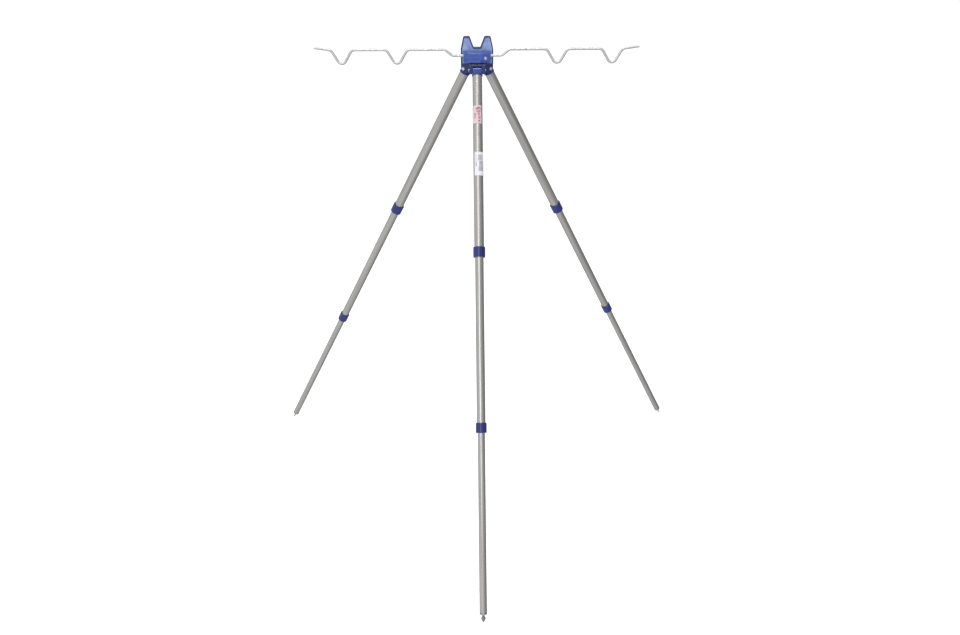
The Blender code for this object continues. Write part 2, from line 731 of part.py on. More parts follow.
def make_lock_screw(name, diameter, top, materials, frame):
    """The plug in a tube's top end with its flange, cone and threaded stud."""
    outer = diameter / 2
    plug = outer - TUBE_WALL - GAP
    stud = LOCK_STUD_RADIUS
    seat = -top + GAP
    flange = seat + LOCK_FLANGE
    cone_top = flange + LOCK_CONE
    end = -top + LOCK_LENGTH
    profile = [
        (0, -top - LOCK_INSERT), (plug - 0.001, -top - LOCK_INSERT),
        (plug, -top - LOCK_INSERT + 0.001), (plug, seat), (outer, seat), (outer, flange),
        (plug - 0.0015, flange), (stud, cone_top),
    ]
    height = cone_top + LOCK_THREAD_PITCH / 2
    while height + LOCK_THREAD_PITCH < end:
        profile += [
            (stud, height), (stud + LOCK_THREAD_DEPTH, height + LOCK_THREAD_PITCH * 0.3),
            (stud, height + LOCK_THREAD_PITCH * 0.6),
        ]
        height += LOCK_THREAD_PITCH
    profile += [(stud, end), (0, end)]
    return turned(name, profile, INNER_SIDES, materials["lock_plastic"], frame)


def make_expander(name, diameter, outer_diameter, top, materials, frame):
    """The slit sleeve that the cone spreads against the outer tube's bore."""
    outer = outer_diameter / 2 - TUBE_WALL - GAP
    plug = diameter / 2 - TUBE_WALL - GAP
    bore = LOCK_STUD_RADIUS + LOCK_THREAD_DEPTH + GAP
    low = -top + GAP + LOCK_FLANGE + GAP
    mouth = plug - 0.0015 + RUNNING_GAP
    throat = low + LOCK_CONE
    high = -top + LOCK_LENGTH - GAP
    profile = [
        (mouth, low), (outer - 0.0005, low), (outer, low + 0.0005), (outer, high - 0.0008),
        (outer - 0.0008, high), (bore, high), (bore, throat),
    ]
    sleeve = turned(name, profile, INNER_SIDES, materials["sleeve_plastic"], frame)
    slit_top = high - (high - low) * 0.3
    half = LOCK_SLIT / 2
    cross = [
        (outer * 2, half), (half, half), (half, outer * 2), (-half, outer * 2), (-half, half),
        (-outer * 2, half), (-outer * 2, -half), (-half, -half), (-half, -outer * 2),
        (half, -outer * 2), (half, -half), (outer * 2, -half),
    ]
    cut(sleeve, extruded(f"cut_{name}", cross, low - 0.002, slit_top, "XY"))
    return sleeve


def make_foot(side, materials, frame):
    """The plug in the lower tube's end and the pointed blade that it holds."""
    outer = LOWER_DIAMETER / 2
    plug = outer - TUBE_WALL - GAP
    seat = -TUBE_END - GAP
    bottom = seat - FOOT_FLANGE
    socket = SPIKE_NECK_RADIUS + GAP
    profile = [
        (0, -TUBE_END + FOOT_INSERT), (plug - 0.001, -TUBE_END + FOOT_INSERT),
        (plug, -TUBE_END + FOOT_INSERT - 0.001), (plug, seat), (outer, seat),
        (outer, bottom + 0.0012), (outer - 0.0025, bottom), (socket, bottom),
        (socket, bottom + SPIKE_SOCKET), (0, bottom + SPIKE_SOCKET),
    ]
    turned(f"{side}_foot_plug", profile, INNER_SIDES, materials["foot_zinc"], frame)
    neck = [
        (0, bottom + SPIKE_SOCKET - GAP), (SPIKE_NECK_RADIUS, bottom + SPIKE_SOCKET - GAP),
        (SPIKE_NECK_RADIUS, bottom - 0.004), (0, bottom - 0.004),
    ]
    spike = turned(f"{side}_foot_spike", neck, 16, materials["bright_steel"], frame)
    join(spike, spike_blade(side, bottom))


def spike_blade(side, bottom):
    """The leaf-shaped blade, as a four-sided shape with a ridge down each face."""
    tip = -LEG_LENGTH
    widest = bottom - 0.0025 - (bottom - 0.0025 - tip) * 0.42
    rows = (
        (bottom - 0.0020, SPIKE_NECK_RADIUS * 0.8, SPIKE_NECK_RADIUS * 0.8),
        (widest, SPIKE_HALF_WIDTH, SPIKE_HALF_THICKNESS),
        (tip, SPIKE_TIP, SPIKE_TIP),
    )
    shape = bmesh.new()
    rings = []
    for height, wide, thick in rows:
        corners = ((0, wide), (thick, 0), (0, -wide), (-thick, 0))
        rings.append([shape.verts.new((x, y, height)) for x, y in corners])
    for upper, lower in zip(rings, rings[1:]):
        for i in range(4):
            shape.faces.new((upper[i], upper[(i + 1) % 4], lower[(i + 1) % 4], lower[i]))
    shape.faces.new(rings[0])
    shape.faces.new(rings[-1])
    bmesh.ops.recalc_face_normals(shape, faces=shape.faces)
    mesh = bpy.data.meshes.new(f"join_blade_{side}")
    shape.to_mesh(mesh)
    shape.free()
    return finished(f"join_blade_{side}", mesh, None, None)


def make_label(name, top, bottom, turn, materials, frame):
    """A sticker wrapped round the outward side of the upper tube."""
    inner = UPPER_DIAMETER / 2 + GAP
    start = turn - LABEL_ARC / 2
    end = turn + LABEL_ARC / 2
    outline = arc((0, 0), inner + LABEL_THICKNESS, start, end, 12)
    outline += arc((0, 0), inner, end, start, 12)
    return extruded(name, outline, -bottom, -top, "XY", materials["label_paper"], frame)


def make_leg(side, azimuth, materials):
    """One whole leg, in a frame on its hinge pin."""
    angle = math.radians(azimuth)
    place = (PIVOT_RADIUS * math.cos(angle), HUB_Y + PIVOT_RADIUS * math.sin(angle), PIVOT_HEIGHT)
    frame = hold_point(f"{side}_leg_frame", place, (0.0, -SPLAY, angle))
    make_leg_cap(side, materials, frame)
    make_leg_pin(side, materials, frame)
    upper_top = CAP_TOP + CAP_WALL + GAP
    upper_bottom = UPPER_REACH - TUBE_SETBACK
    make_tube(f"{side}_upper_tube", UPPER_DIAMETER, upper_top, upper_bottom, materials, frame)
    make_collar(
        f"{side}_upper_collar", UPPER_DIAMETER, MIDDLE_DIAMETER, UPPER_REACH,
        UPPER_COLLAR_LENGTH, materials, frame,
    )
    middle_bottom = MIDDLE_REACH[side] - TUBE_SETBACK
    middle_top = middle_bottom - MIDDLE_TUBE_LENGTH
    make_tube(f"{side}_middle_tube", MIDDLE_DIAMETER, middle_top, middle_bottom, materials, frame)
    make_lock_screw(f"{side}_middle_lock_screw", MIDDLE_DIAMETER, middle_top, materials, frame)
    make_expander(
        f"{side}_middle_expander", MIDDLE_DIAMETER, UPPER_DIAMETER, middle_top, materials, frame
    )
    make_collar(
        f"{side}_lower_collar", MIDDLE_DIAMETER, LOWER_DIAMETER, MIDDLE_REACH[side],
        LOWER_COLLAR_LENGTH, materials, frame,
    )
    lower_top = TUBE_END - LOWER_TUBE_LENGTH
    make_tube(f"{side}_lower_tube", LOWER_DIAMETER, lower_top, TUBE_END, materials, frame)
    make_lock_screw(f"{side}_lower_lock_screw", LOWER_DIAMETER, lower_top, materials, frame)
    make_expander(
        f"{side}_lower_expander", LOWER_DIAMETER, MIDDLE_DIAMETER, lower_top, materials, frame
    )
    make_foot(side, materials, frame)
    if side == "front":
        for name, top, bottom, turn in LABELS:
            make_label(name, top, bottom, turn, materials, frame)


def main():
    """Clears the scene and builds the whole tripod."""
    for item in list(bpy.data.objects):
        bpy.data.objects.remove(item)
    materials = make_materials()
    hub = hold_point("hub_frame", (0.0, HUB_Y, PIVOT_HEIGHT))
    make_head(materials, hub)
    make_cover(materials, hub)
    make_cover_screw(materials, hub)
    make_arm_rivet(materials, hub)
    make_arm("left_wire_arm", -1, materials, hub)
    make_arm("right_wire_arm", 1, materials, hub)
    for side, azimuth in LEG_AZIMUTHS.items():
        make_leg(side, azimuth, materials)


main()
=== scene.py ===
"""Telescopic rod tripod: the fine surfaces, finishes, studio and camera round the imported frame.

Sizes are in metres. Pieces of the head are modelled round the hub, and pieces of a leg in that leg's
own frame, with its origin on the hinge pin, -Z down the leg, +X outwards and +Y along the pin.
"""

from __future__ import annotations

import json
import logging
import math
from collections.abc import Callable, Iterator, Sequence
from contextlib import contextmanager
from dataclasses import dataclass, field
from enum import Enum

import bmesh
import bpy
from mathutils import Matrix, Vector

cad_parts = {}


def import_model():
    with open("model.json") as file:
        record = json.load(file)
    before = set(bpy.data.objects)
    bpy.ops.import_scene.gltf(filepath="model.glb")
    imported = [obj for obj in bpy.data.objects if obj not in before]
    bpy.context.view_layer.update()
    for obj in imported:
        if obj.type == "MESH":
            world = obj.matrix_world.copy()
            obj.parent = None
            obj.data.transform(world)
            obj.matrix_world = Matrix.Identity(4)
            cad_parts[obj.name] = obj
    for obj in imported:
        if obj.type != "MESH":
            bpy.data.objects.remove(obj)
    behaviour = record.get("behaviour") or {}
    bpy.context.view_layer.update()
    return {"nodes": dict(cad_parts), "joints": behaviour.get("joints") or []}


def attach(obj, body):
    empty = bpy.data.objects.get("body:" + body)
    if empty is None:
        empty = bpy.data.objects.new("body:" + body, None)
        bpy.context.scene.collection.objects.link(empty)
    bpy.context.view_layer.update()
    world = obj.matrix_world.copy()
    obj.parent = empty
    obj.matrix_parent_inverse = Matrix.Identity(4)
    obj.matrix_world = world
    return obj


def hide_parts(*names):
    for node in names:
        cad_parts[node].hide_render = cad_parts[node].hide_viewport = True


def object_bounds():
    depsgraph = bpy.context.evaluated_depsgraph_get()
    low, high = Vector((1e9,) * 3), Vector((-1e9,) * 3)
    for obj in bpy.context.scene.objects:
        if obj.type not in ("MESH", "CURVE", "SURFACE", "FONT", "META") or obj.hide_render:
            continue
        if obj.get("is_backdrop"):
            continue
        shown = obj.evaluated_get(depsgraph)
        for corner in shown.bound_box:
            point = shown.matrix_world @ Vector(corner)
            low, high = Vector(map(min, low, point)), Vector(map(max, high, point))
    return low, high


LOG = logging.getLogger("rod_tripod")
GAP = 0.0003

Point = tuple[float, float]
Point3 = tuple[float, float, float]
Colour = tuple[float, float, float, float]
Shape = bpy.types.Object


class Pick(Enum):
    """What an edit session selects."""

    POINTS = (True, False, False)
    EDGES = (False, True, False)
    FACES = (False, False, True)


class Side(Enum):
    """The three legs."""

    FRONT = "front"
    LEFT = "left"
    RIGHT = "right"


class Stage(Enum):
    """The sections of a telescopic leg."""

    UPPER = "upper"
    MIDDLE = "middle"
    LOWER = "lower"


# ---------------------------------------------------------------- bench work


def select_only(piece: Shape) -> None:
    """Select one object and make it active.

    Args:
        piece: The object to work on.
    """
    if bpy.context.mode != "OBJECT":
        bpy.ops.object.mode_set(mode="OBJECT")
    bpy.ops.object.select_all(action="DESELECT")
    piece.select_set(True)
    bpy.context.view_layer.objects.active = piece


@contextmanager
def editing(piece: Shape, pick: Pick) -> Iterator[None]:
    """Hold an object in edit mode with nothing of it selected.

    Args:
        piece: The object to edit.
        pick: What the session selects.
    """
    select_only(piece)
    bpy.ops.object.mode_set(mode="EDIT")
    bpy.context.tool_settings.mesh_select_mode = pick.value
    bpy.ops.mesh.select_all(action="DESELECT")
    yield
    bpy.ops.object.mode_set(mode="OBJECT")


def pick_faces(piece: Shape, test: Callable[[Vector, Vector], bool]) -> None:
    """Select the faces that pass a test, in edit mode.

    Args:
        piece: The object in edit mode.
        test: Takes a face's centre and normal.
    """
    shape = bmesh.from_edit_mesh(piece.data)
    for face in shape.faces:
        face.select_set(test(face.calc_center_median(), face.normal))
    bmesh.update_edit_mesh(piece.data)


def pick_edges(piece: Shape, test: Callable[[Vector, Vector], bool]) -> None:
    """Select the edges that pass a test, in edit mode.

    Args:
        piece: The object in edit mode.
        test: Takes an edge's two ends.
    """
    shape = bmesh.from_edit_mesh(piece.data)
    for edge in shape.edges:
        edge.select_set(test(edge.verts[0].co, edge.verts[1].co))
    bmesh.update_edit_mesh(piece.data)


def draw_line(name: str, points: Sequence[Vector], closed: bool) -> Shape:
    """Draw a line of points by extruding one point again and again.

    Args:
        name: The new object's name.
        points: The line's points in order.
        closed: Whether the line comes back to its start.

    Returns:
        The new object.
    """
    select_nothing()
    bpy.ops.mesh.primitive_plane_add(size=0.001)
    piece = bpy.context.object
    piece.name = name
    route = [*points, points[0]] if closed else list(points)
    with editing(piece, Pick.POINTS):
        bpy.ops.mesh.select_all(action="SELECT")
        bpy.ops.mesh.merge(type="CENTER")
        bpy.ops.transform.translate(value=route[0])
        for here, there in zip(route, route[1:]):
            bpy.ops.mesh.extrude_region_move(TRANSFORM_OT_translate={"value": there - here})
        bpy.ops.mesh.select_all(action="SELECT")
        bpy.ops.mesh.remove_doubles(threshold=1e-6)
    return piece


def select_nothing() -> None:
    """Deselect everything, the frame's nodes included."""
    if bpy.context.mode != "OBJECT":
        bpy.ops.object.mode_set(mode="OBJECT")
    bpy.ops.object.select_all(action="DESELECT")


def turn(name: str, profile: Sequence[Point], steps: int = 64, ring: bool = False) -> Shape:
    """Spin a profile about Z into a closed solid.

    Args:
        name: The new object's name.
        profile: (radius, height) points, from axis to axis or round a ring's section.
        steps: Sides of the turned shape.
        ring: Whether the profile is a ring's section.

    Returns:
        The turned object.
    """
    piece = draw_line(name, [Vector((r, 0, z)) for r, z in profile], ring)
    with editing(piece, Pick.POINTS):
        bpy.ops.mesh.select_all(action="SELECT")
        bpy.ops.mesh.spin(steps=steps, angle=2 * math.pi, center=(0, 0, 0), axis=(0, 0, 1))
        bpy.ops.mesh.select_all(action="SELECT")
        bpy.ops.mesh.remove_doubles(threshold=2e-6)
        bpy.ops.mesh.normals_make_consistent(inside=False)
    return piece


def slab(name: str, outline: Sequence[Vector], rise: Vector) -> Shape:
    """Fill an outline and extrude it into a solid.

    Args:
        name: The new object's name.
        outline: The corners in order.
        rise: How far, and which way, the outline is extruded.

    Returns:
        The slab.
    """
    piece = draw_line(name, outline, True)
    with editing(piece, Pick.POINTS):
        bpy.ops.mesh.select_all(action="SELECT")
        bpy.ops.mesh.edge_face_add()
        bpy.ops.mesh.extrude_region_move(TRANSFORM_OT_translate={"value": rise})
        bpy.ops.mesh.select_all(action="SELECT")
        bpy.ops.mesh.normals_make_consistent(inside=False)
    return piece


def brick(name: str, low: Point3, high: Point3) -> Shape:
    """A block between two corners.

    Args:
        name: The new object's name.
        low: Its lowest corner.
        high: Its highest corner.

    Returns:
        The block.
    """
    outline = [
        Vector((low[0], low[1], low[2])),
        Vector((high[0], low[1], low[2])),
        Vector((high[0], high[1], low[2])),
        Vector((low[0], high[1], low[2])),
    ]
    return slab(name, outline, Vector((0, 0, high[2] - low[2])))


def finish_with(piece: Shape, kind: str, **settings: object) -> None:
    """Add a modifier and apply it.

    Args:
        piece: The object.
        kind: The modifier's type.
        settings: The modifier's settings.
    """
    select_only(piece)
    modifier = piece.modifiers.new(kind.title(), kind)
    for key, value in settings.items():
        setattr(modifier, key, value)
    bpy.ops.object.modifier_apply(modifier=modifier.name)


def soften(piece: Shape, width: float, rounds: int = 2, angle: float = 40.0) -> None:
    """Round the sharp edges.

    Args:
        piece: The object.
        width: The rounding's width.
        rounds: Its segments.
        angle: Edges sharper than this, in degrees, are rounded.
    """
    finish_with(
        piece,
        "BEVEL",
        width=width,
        segments=rounds,
        limit_method="ANGLE",
        angle_limit=math.radians(angle),
        use_clamp_overlap=True,
        miter_outer="MITER_ARC",
    )


def combine(piece: Shape, tool: Shape, operation: str) -> None:
    """Join a tool to a piece, or carve it out, and throw the tool away.

    Args:
        piece: The object that stays.
        tool: The object that is used up.
        operation: "UNION" or "DIFFERENCE".
    """
    finish_with(piece, "BOOLEAN", operation=operation, solver="EXACT", object=tool)
    bpy.data.objects.remove(tool)


def put(piece: Shape, place: Matrix) -> Shape:
    """Move a piece's mesh into place and leave its object at the origin.

    Args:
        piece: The object.
        place: Where it goes.

    Returns:
        The same object.
    """
    select_only(piece)
    piece.matrix_world = place @ piece.matrix_world
    bpy.ops.object.transform_apply(location=True, rotation=True, scale=True)
    return piece


def copy_of(piece: Shape, name: str) -> Shape:
    """A copy with a mesh of its own.

    Args:
        piece: The object to copy.
        name: The copy's name.

    Returns:
        The copy.
    """
    select_only(piece)
    bpy.ops.object.duplicate(linked=False)
    made = bpy.context.object
    made.name = name
    return made


def smooth(piece: Shape, angle: float = 35.0) -> Shape:
    """Shade smooth up to sharp edges, with the flats kept flat.

    Args:
        piece: The object.
        angle: Edges sharper than this, in degrees, stay sharp.

    Returns:
        The same object.
    """
    select_only(piece)
    bpy.ops.object.shade_smooth_by_angle(angle=math.radians(angle))
    finish_with(piece, "WEIGHTED_NORMAL", keep_sharp=True, weight=80)
    return piece


def bow(centre: Point, radius: float, start: float, end: float, steps: int) -> list[Point]:
    """Points on an arc.

    Args:
        centre: The arc's centre.
        radius: Its radius.
        start: Where it starts, in degrees.
        end: Where it ends, in degrees.
        steps: How many stretches it has.

    Returns:
        The points in order.
    """
    turns = [math.radians(start + (end - start) * i / steps) for i in range(steps + 1)]
    return [(centre[0] + radius * math.cos(a), centre[1] + radius * math.sin(a)) for a in turns]


def rounded(corners: Sequence[Point3], steps: int = 8, closed: bool = True) -> list[Point]:
    """Round the corners of an outline or a route.

    Args:
        corners: (x, y, radius) corners. The ends of an open route have no radius.
        steps: Stretches of each arc.
        closed: Whether the last corner is joined to the first.

    Returns:
        The rounded outline's points.
    """
    places = [Vector(corner[:2]) for corner in corners]
    line: list[Point] = []
    last = len(places) - 1
    for index, (here, corner) in enumerate(zip(places, corners)):
        if corner[2] == 0 or (not closed and index in (0, last)):
            line.append((here.x, here.y))
            continue
        before = (places[index - 1] - here).normalized()
        after = (places[(index + 1) % len(places)] - here).normalized()
        half = before.angle(after) / 2
        centre = here + (before + after).normalized() * (corner[2] / math.sin(half))
        first = here + before * (corner[2] / math.tan(half)) - centre
        second = here + after * (corner[2] / math.tan(half)) - centre
        swing = first.angle_signed(second)
        for i in range(steps + 1):
            spot = centre + Matrix.Rotation(-swing * i / steps, 2) @ first
            line.append((spot.x, spot.y))
    return line


# ---------------------------------------------------------------- finishes


class Recipe:
    """A node graph under construction for one material."""

    def __init__(self, name: str) -> None:
        """Start a material with a Principled BSDF.

        Args:
            name: The material's name.
        """
        self.material = bpy.data.materials.new(name)
        self.material.use_nodes = True
        self.tree = self.material.node_tree
        self.shader = self.tree.nodes["Principled BSDF"]

    def add(self, kind: str, **settings: object) -> bpy.types.Node:
        """Add a node and set its properties.

        Args:
            kind: The node type.

        Returns:
            The new node.
        """
        node = self.tree.nodes.new(kind)
        for key, value in settings.items():
            setattr(node, key, value)
        return node

    def feed(self, target: bpy.types.NodeSocket, value: object) -> None:
        """Link a socket to another, or set its value.

        Args:
            target: The socket to feed.
            value: A socket to link or a plain value.
        """
        if isinstance(value, bpy.types.NodeSocket):
            self.tree.links.new(value, target)
        else:
            target.default_value = value

    def place(self, frame: Matrix | None = None, stretch: Point3 = (1, 1, 1)) -> bpy.types.NodeSocket:
        """Object coordinates, seen from a leg's own frame and stretched.

        Args:
            frame: The frame to read them in, or None for the row's.
            stretch: The factor along each of that frame's axes.

        Returns:
            The coordinates' socket.
        """
        spot = self.add("ShaderNodeTexCoord").outputs["Object"]
        if frame is not None:
            inverse = frame.inverted()
            turned = self.add("ShaderNodeMapping")
            turned.inputs["Rotation"].default_value = inverse.to_euler("XYZ")
            turned.inputs["Location"].default_value = inverse.to_translation()
            self.feed(turned.inputs["Vector"], spot)
            spot = turned.outputs["Vector"]
        if stretch != (1, 1, 1):
            scaled = self.add("ShaderNodeMapping")
            scaled.inputs["Scale"].default_value = stretch
            self.feed(scaled.inputs["Vector"], spot)
            spot = scaled.outputs["Vector"]
        return spot

    def noise(self, spot: bpy.types.NodeSocket, scale: float, detail: float = 3.0) -> bpy.types.NodeSocket:
        """A noise value from 0 to 1.

        Args:
            spot: The coordinates.
            scale: Its features per metre.
            detail: Its octaves.

        Returns:
            The value's socket.
        """
        node = self.add("ShaderNodeTexNoise")
        self.feed(node.inputs["Vector"], spot)
        node.inputs["Scale"].default_value = scale
        node.inputs["Detail"].default_value = detail
        return node.outputs["Fac"]

    def ramp(self, value: bpy.types.NodeSocket, low: Point, high: Point) -> bpy.types.NodeSocket:
        """Map a value from one range to another.

        Args:
            value: The value.
            low: (from, to) at the lower end.
            high: (from, to) at the upper end.

        Returns:
            The mapped value's socket.
        """
        node = self.add("ShaderNodeMapRange")
        self.feed(node.inputs["Value"], value)
        node.inputs["From Min"].default_value = low[0]
        node.inputs["From Max"].default_value = high[0]
        node.inputs["To Min"].default_value = low[1]
        node.inputs["To Max"].default_value = high[1]
        return node.outputs["Result"]

    def compute(self, operation: str, first: object, second: object = 0.0) -> bpy.types.NodeSocket:
        """A Math node.

        Args:
            operation: The node's operation.
            first: Its first value or socket.
            second: Its second value or socket.

        Returns:
            The result's socket.
        """
        node = self.add("ShaderNodeMath", operation=operation)
        self.feed(node.inputs[0], first)
        self.feed(node.inputs[1], second)
        return node.outputs[0]

    def blend(self, share: object, first: object, second: object) -> bpy.types.NodeSocket:
        """Mix two colours.

        Args:
            share: How much of the second colour there is.
            first: The first colour.
            second: The second colour.

        Returns:
            The mixed colour's socket.
        """
        node = self.add("ShaderNodeMix", data_type="RGBA")
        self.feed(node.inputs[0], share)
        self.feed(node.inputs[6], first)
        self.feed(node.inputs[7], second)
        return node.outputs[2]

    def relief(self, height: bpy.types.NodeSocket, depth: float, strength: float) -> None:
        """Feed a bump to the shader.

        Args:
            height: The height from 0 to 1.
            depth: The height's real size.
            strength: How much of it shows.
        """
        node = self.add("ShaderNodeBump")
        node.inputs["Strength"].default_value = strength
        node.inputs["Distance"].default_value = depth
        self.feed(node.inputs["Height"], height)
        self.feed(self.shader.inputs["Normal"], node.outputs["Normal"])

    def settle(self, **sockets: object) -> bpy.types.Material:
        """Set the shader's sockets and hand over the material.

        Args:
            sockets: Values or sockets by the shader's input names, with spaces as underscores.

        Returns:
            The material.
        """
        for key, value in sockets.items():
            self.feed(self.shader.inputs[key.replace("_", " ")], value)
        return self.material


@dataclass(frozen=True)
class GlossMoulding:
    """Glossy moulded plastic with faint flow marks and an orange-peel skin."""

    name: str
    colour: Colour
    shade: Colour
    gloss: float = 0.16
    peel: float = 900.0
    coat: float = 0.35

    def material(self) -> bpy.types.Material:
        """Make the material.

        Returns:
            The material.
        """
        recipe = Recipe(self.name)
        spot = recipe.place()
        flow = recipe.noise(recipe.place(stretch=(1.0, 1.0, 0.35)), 70.0, 4.0)
        skin = recipe.noise(spot, self.peel, 2.0)
        rub = recipe.noise(spot, 260.0, 5.0)
        colour = recipe.blend(recipe.ramp(flow, (0.3, 0.0), (0.7, 1.0)), self.shade, self.colour)
        rough = recipe.ramp(rub, (0.25, self.gloss * 0.75), (0.75, self.gloss * 1.45))
        recipe.relief(skin, 0.00003, 0.35)
        return recipe.settle(
            Base_Color=colour,
            Roughness=rough,
            IOR=1.50,
            Coat_Weight=self.coat,
            Coat_Roughness=0.08,
        )


@dataclass(frozen=True)
class SatinPanel:
    """The finely textured panels between the fork plate's rims, given a paler blue than the head's own
    plastic as a painted reflection of a bright soft box; the satin texture is real.
    """

    name: str
    colour: Colour
    shade: Colour

    def material(self) -> bpy.types.Material:
        """Make the material.

        Returns:
            The material.
        """
        recipe = Recipe(self.name)
        spot = recipe.place()
        cloud = recipe.noise(spot, 75.0, 4.0)
        spark = recipe.noise(spot, 1300.0, 3.0)
        colour = recipe.blend(recipe.ramp(cloud, (0.32, 0.0), (0.68, 1.0)), self.shade, self.colour)
        recipe.relief(spark, 0.00012, 0.6)
        rough = recipe.ramp(cloud, (0.3, 0.34), (0.7, 0.48))
        return recipe.settle(
            Base_Color=colour, Roughness=rough, IOR=1.52, Sheen_Weight=0.25, Sheen_Roughness=0.4
        )


@dataclass(frozen=True)
class DrawnAluminium:
    """Drawn tube: fine lines along it, faint smudges and rub marks round it."""

    name: str
    colour: Colour
    shade: Colour
    polish: float = 0.25

    def material(self, frame: Matrix) -> bpy.types.Material:
        """Make the material.

        Args:
            frame: The leg's frame, whose Z runs along the tube.

        Returns:
            The material.
        """
        recipe = Recipe(self.name)
        lines = recipe.noise(recipe.place(frame, (1.0, 1.0, 0.012)), 900.0, 2.0)
        bands = recipe.noise(recipe.place(frame, (1.0, 1.0, 0.02)), 210.0, 2.0)
        smudge = recipe.noise(recipe.place(frame), 42.0, 5.0)
        rings = recipe.noise(recipe.place(frame, (0.03, 0.03, 1.0)), 700.0, 3.0)
        fine = recipe.compute("MULTIPLY", lines, 0.45)
        broad = recipe.compute("MULTIPLY", bands, 0.55)
        tone = recipe.compute("ADD", fine, broad)
        colour = recipe.blend(recipe.ramp(tone, (0.34, 0.0), (0.66, 1.0)), self.shade, self.colour)
        worn = recipe.ramp(smudge, (0.35, self.polish * 0.85), (0.7, self.polish * 1.25))
        scuff = recipe.ramp(rings, (0.68, 0.0), (0.85, 0.06))
        rough = recipe.compute("ADD", worn, scuff)
        recipe.relief(lines, 0.000008, 0.2)
        return recipe.settle(Base_Color=colour, Metallic=1.0, Roughness=rough)


@dataclass(frozen=True)
class PlatedSteel:
    """Bright plating on wire, rivets and screws, a little dulled in patches."""

    name: str
    colour: Colour
    shade: Colour
    polish: float = 0.16

    def material(self) -> bpy.types.Material:
        """Make the material.

        Returns:
            The material.
        """
        recipe = Recipe(self.name)
        spot = recipe.place()
        patch = recipe.noise(spot, 160.0, 5.0)
        fine = recipe.noise(spot, 2200.0, 2.0)
        colour = recipe.blend(recipe.ramp(patch, (0.35, 0.0), (0.7, 1.0)), self.shade, self.colour)
        rough = recipe.ramp(patch, (0.3, self.polish * 1.7), (0.7, self.polish * 0.8))
        recipe.relief(fine, 0.00002, 0.3)
        return recipe.settle(Base_Color=colour, Metallic=1.0, Roughness=rough)


@dataclass(frozen=True)
class MattMoulding:
    """Plain matt plastic of the pieces inside the tubes."""

    name: str
    colour: Colour
    shade: Colour

    def material(self) -> bpy.types.Material:
        """Make the material.

        Returns:
            The material.
        """
        recipe = Recipe(self.name)
        spot = recipe.place()
        cloud = recipe.noise(spot, 300.0, 4.0)
        grain = recipe.noise(spot, 3000.0, 2.0)
        colour = recipe.blend(recipe.ramp(cloud, (0.3, 0.0), (0.7, 1.0)), self.shade, self.colour)
        recipe.relief(grain, 0.00004, 0.4)
        return recipe.settle(Base_Color=colour, Roughness=recipe.ramp(cloud, (0.3, 0.42), (0.7, 0.6)))


@dataclass(frozen=True)
class Sticker:
    """A wrapped sticker printed with plain blocks and bars.

    Each block is (top, bottom, left, right, bars), with top and bottom measured down the leg, left
    and right in degrees round it, and bars the number of bars in the block, or 0 for a solid one.
    """

    name: str
    paper: Colour
    ink: Colour
    blocks: tuple[tuple[float, float, float, float, int], ...]

    def block(self, recipe: Recipe, down: object, around: object, shape: Sequence[float]) -> object:
        """The mask of one printed block.

        Args:
            recipe: The graph.
            down: The distance down the leg.
            around: The angle round the leg, in radians.
            shape: The block.

        Returns:
            The mask's socket.
        """
        top, bottom, left, right, bars = shape
        inside = recipe.compute("GREATER_THAN", down, top)
        inside = recipe.compute("MULTIPLY", inside, recipe.compute("LESS_THAN", down, bottom))
        after = recipe.compute("GREATER_THAN", around, math.radians(left))
        inside = recipe.compute("MULTIPLY", inside, after)
        before = recipe.compute("LESS_THAN", around, math.radians(right))
        inside = recipe.compute("MULTIPLY", inside, before)
        if bars:
            step = (bottom - top) / bars
            below = recipe.compute("SUBTRACT", down, top)
            phase = recipe.compute("FRACT", recipe.compute("DIVIDE", below, step))
            inside = recipe.compute("MULTIPLY", inside, recipe.compute("LESS_THAN", phase, 0.55))
        return inside

    def material(self, frame: Matrix) -> bpy.types.Material:
        """Make the material.

        Args:
            frame: The leg's frame.

        Returns:
            The material.
        """
        recipe = Recipe(self.name)
        spot = recipe.place(frame)
        parts = recipe.add("ShaderNodeSeparateXYZ")
        recipe.feed(parts.inputs[0], spot)
        around = recipe.compute("ARCTAN2", parts.outputs["Y"], parts.outputs["X"])
        down = recipe.compute("MULTIPLY", parts.outputs["Z"], -1.0)
        mask: object = 0.0
        for shape in self.blocks:
            mask = recipe.compute("MAXIMUM", mask, self.block(recipe, down, around, shape))
        wear = recipe.noise(spot, 900.0, 4.0)
        mask = recipe.compute("MULTIPLY", mask, recipe.ramp(wear, (0.3, 0.55), (0.6, 1.0)))
        grime = recipe.ramp(recipe.noise(spot, 120.0, 4.0), (0.4, 0.0), (0.8, 0.22))
        paper = recipe.blend(grime, self.paper, (0.55, 0.55, 0.56, 1.0))
        recipe.relief(wear, 0.00002, 0.3)
        return recipe.settle(Base_Color=recipe.blend(mask, paper, self.ink), Roughness=0.35, Coat_Weight=0.3)


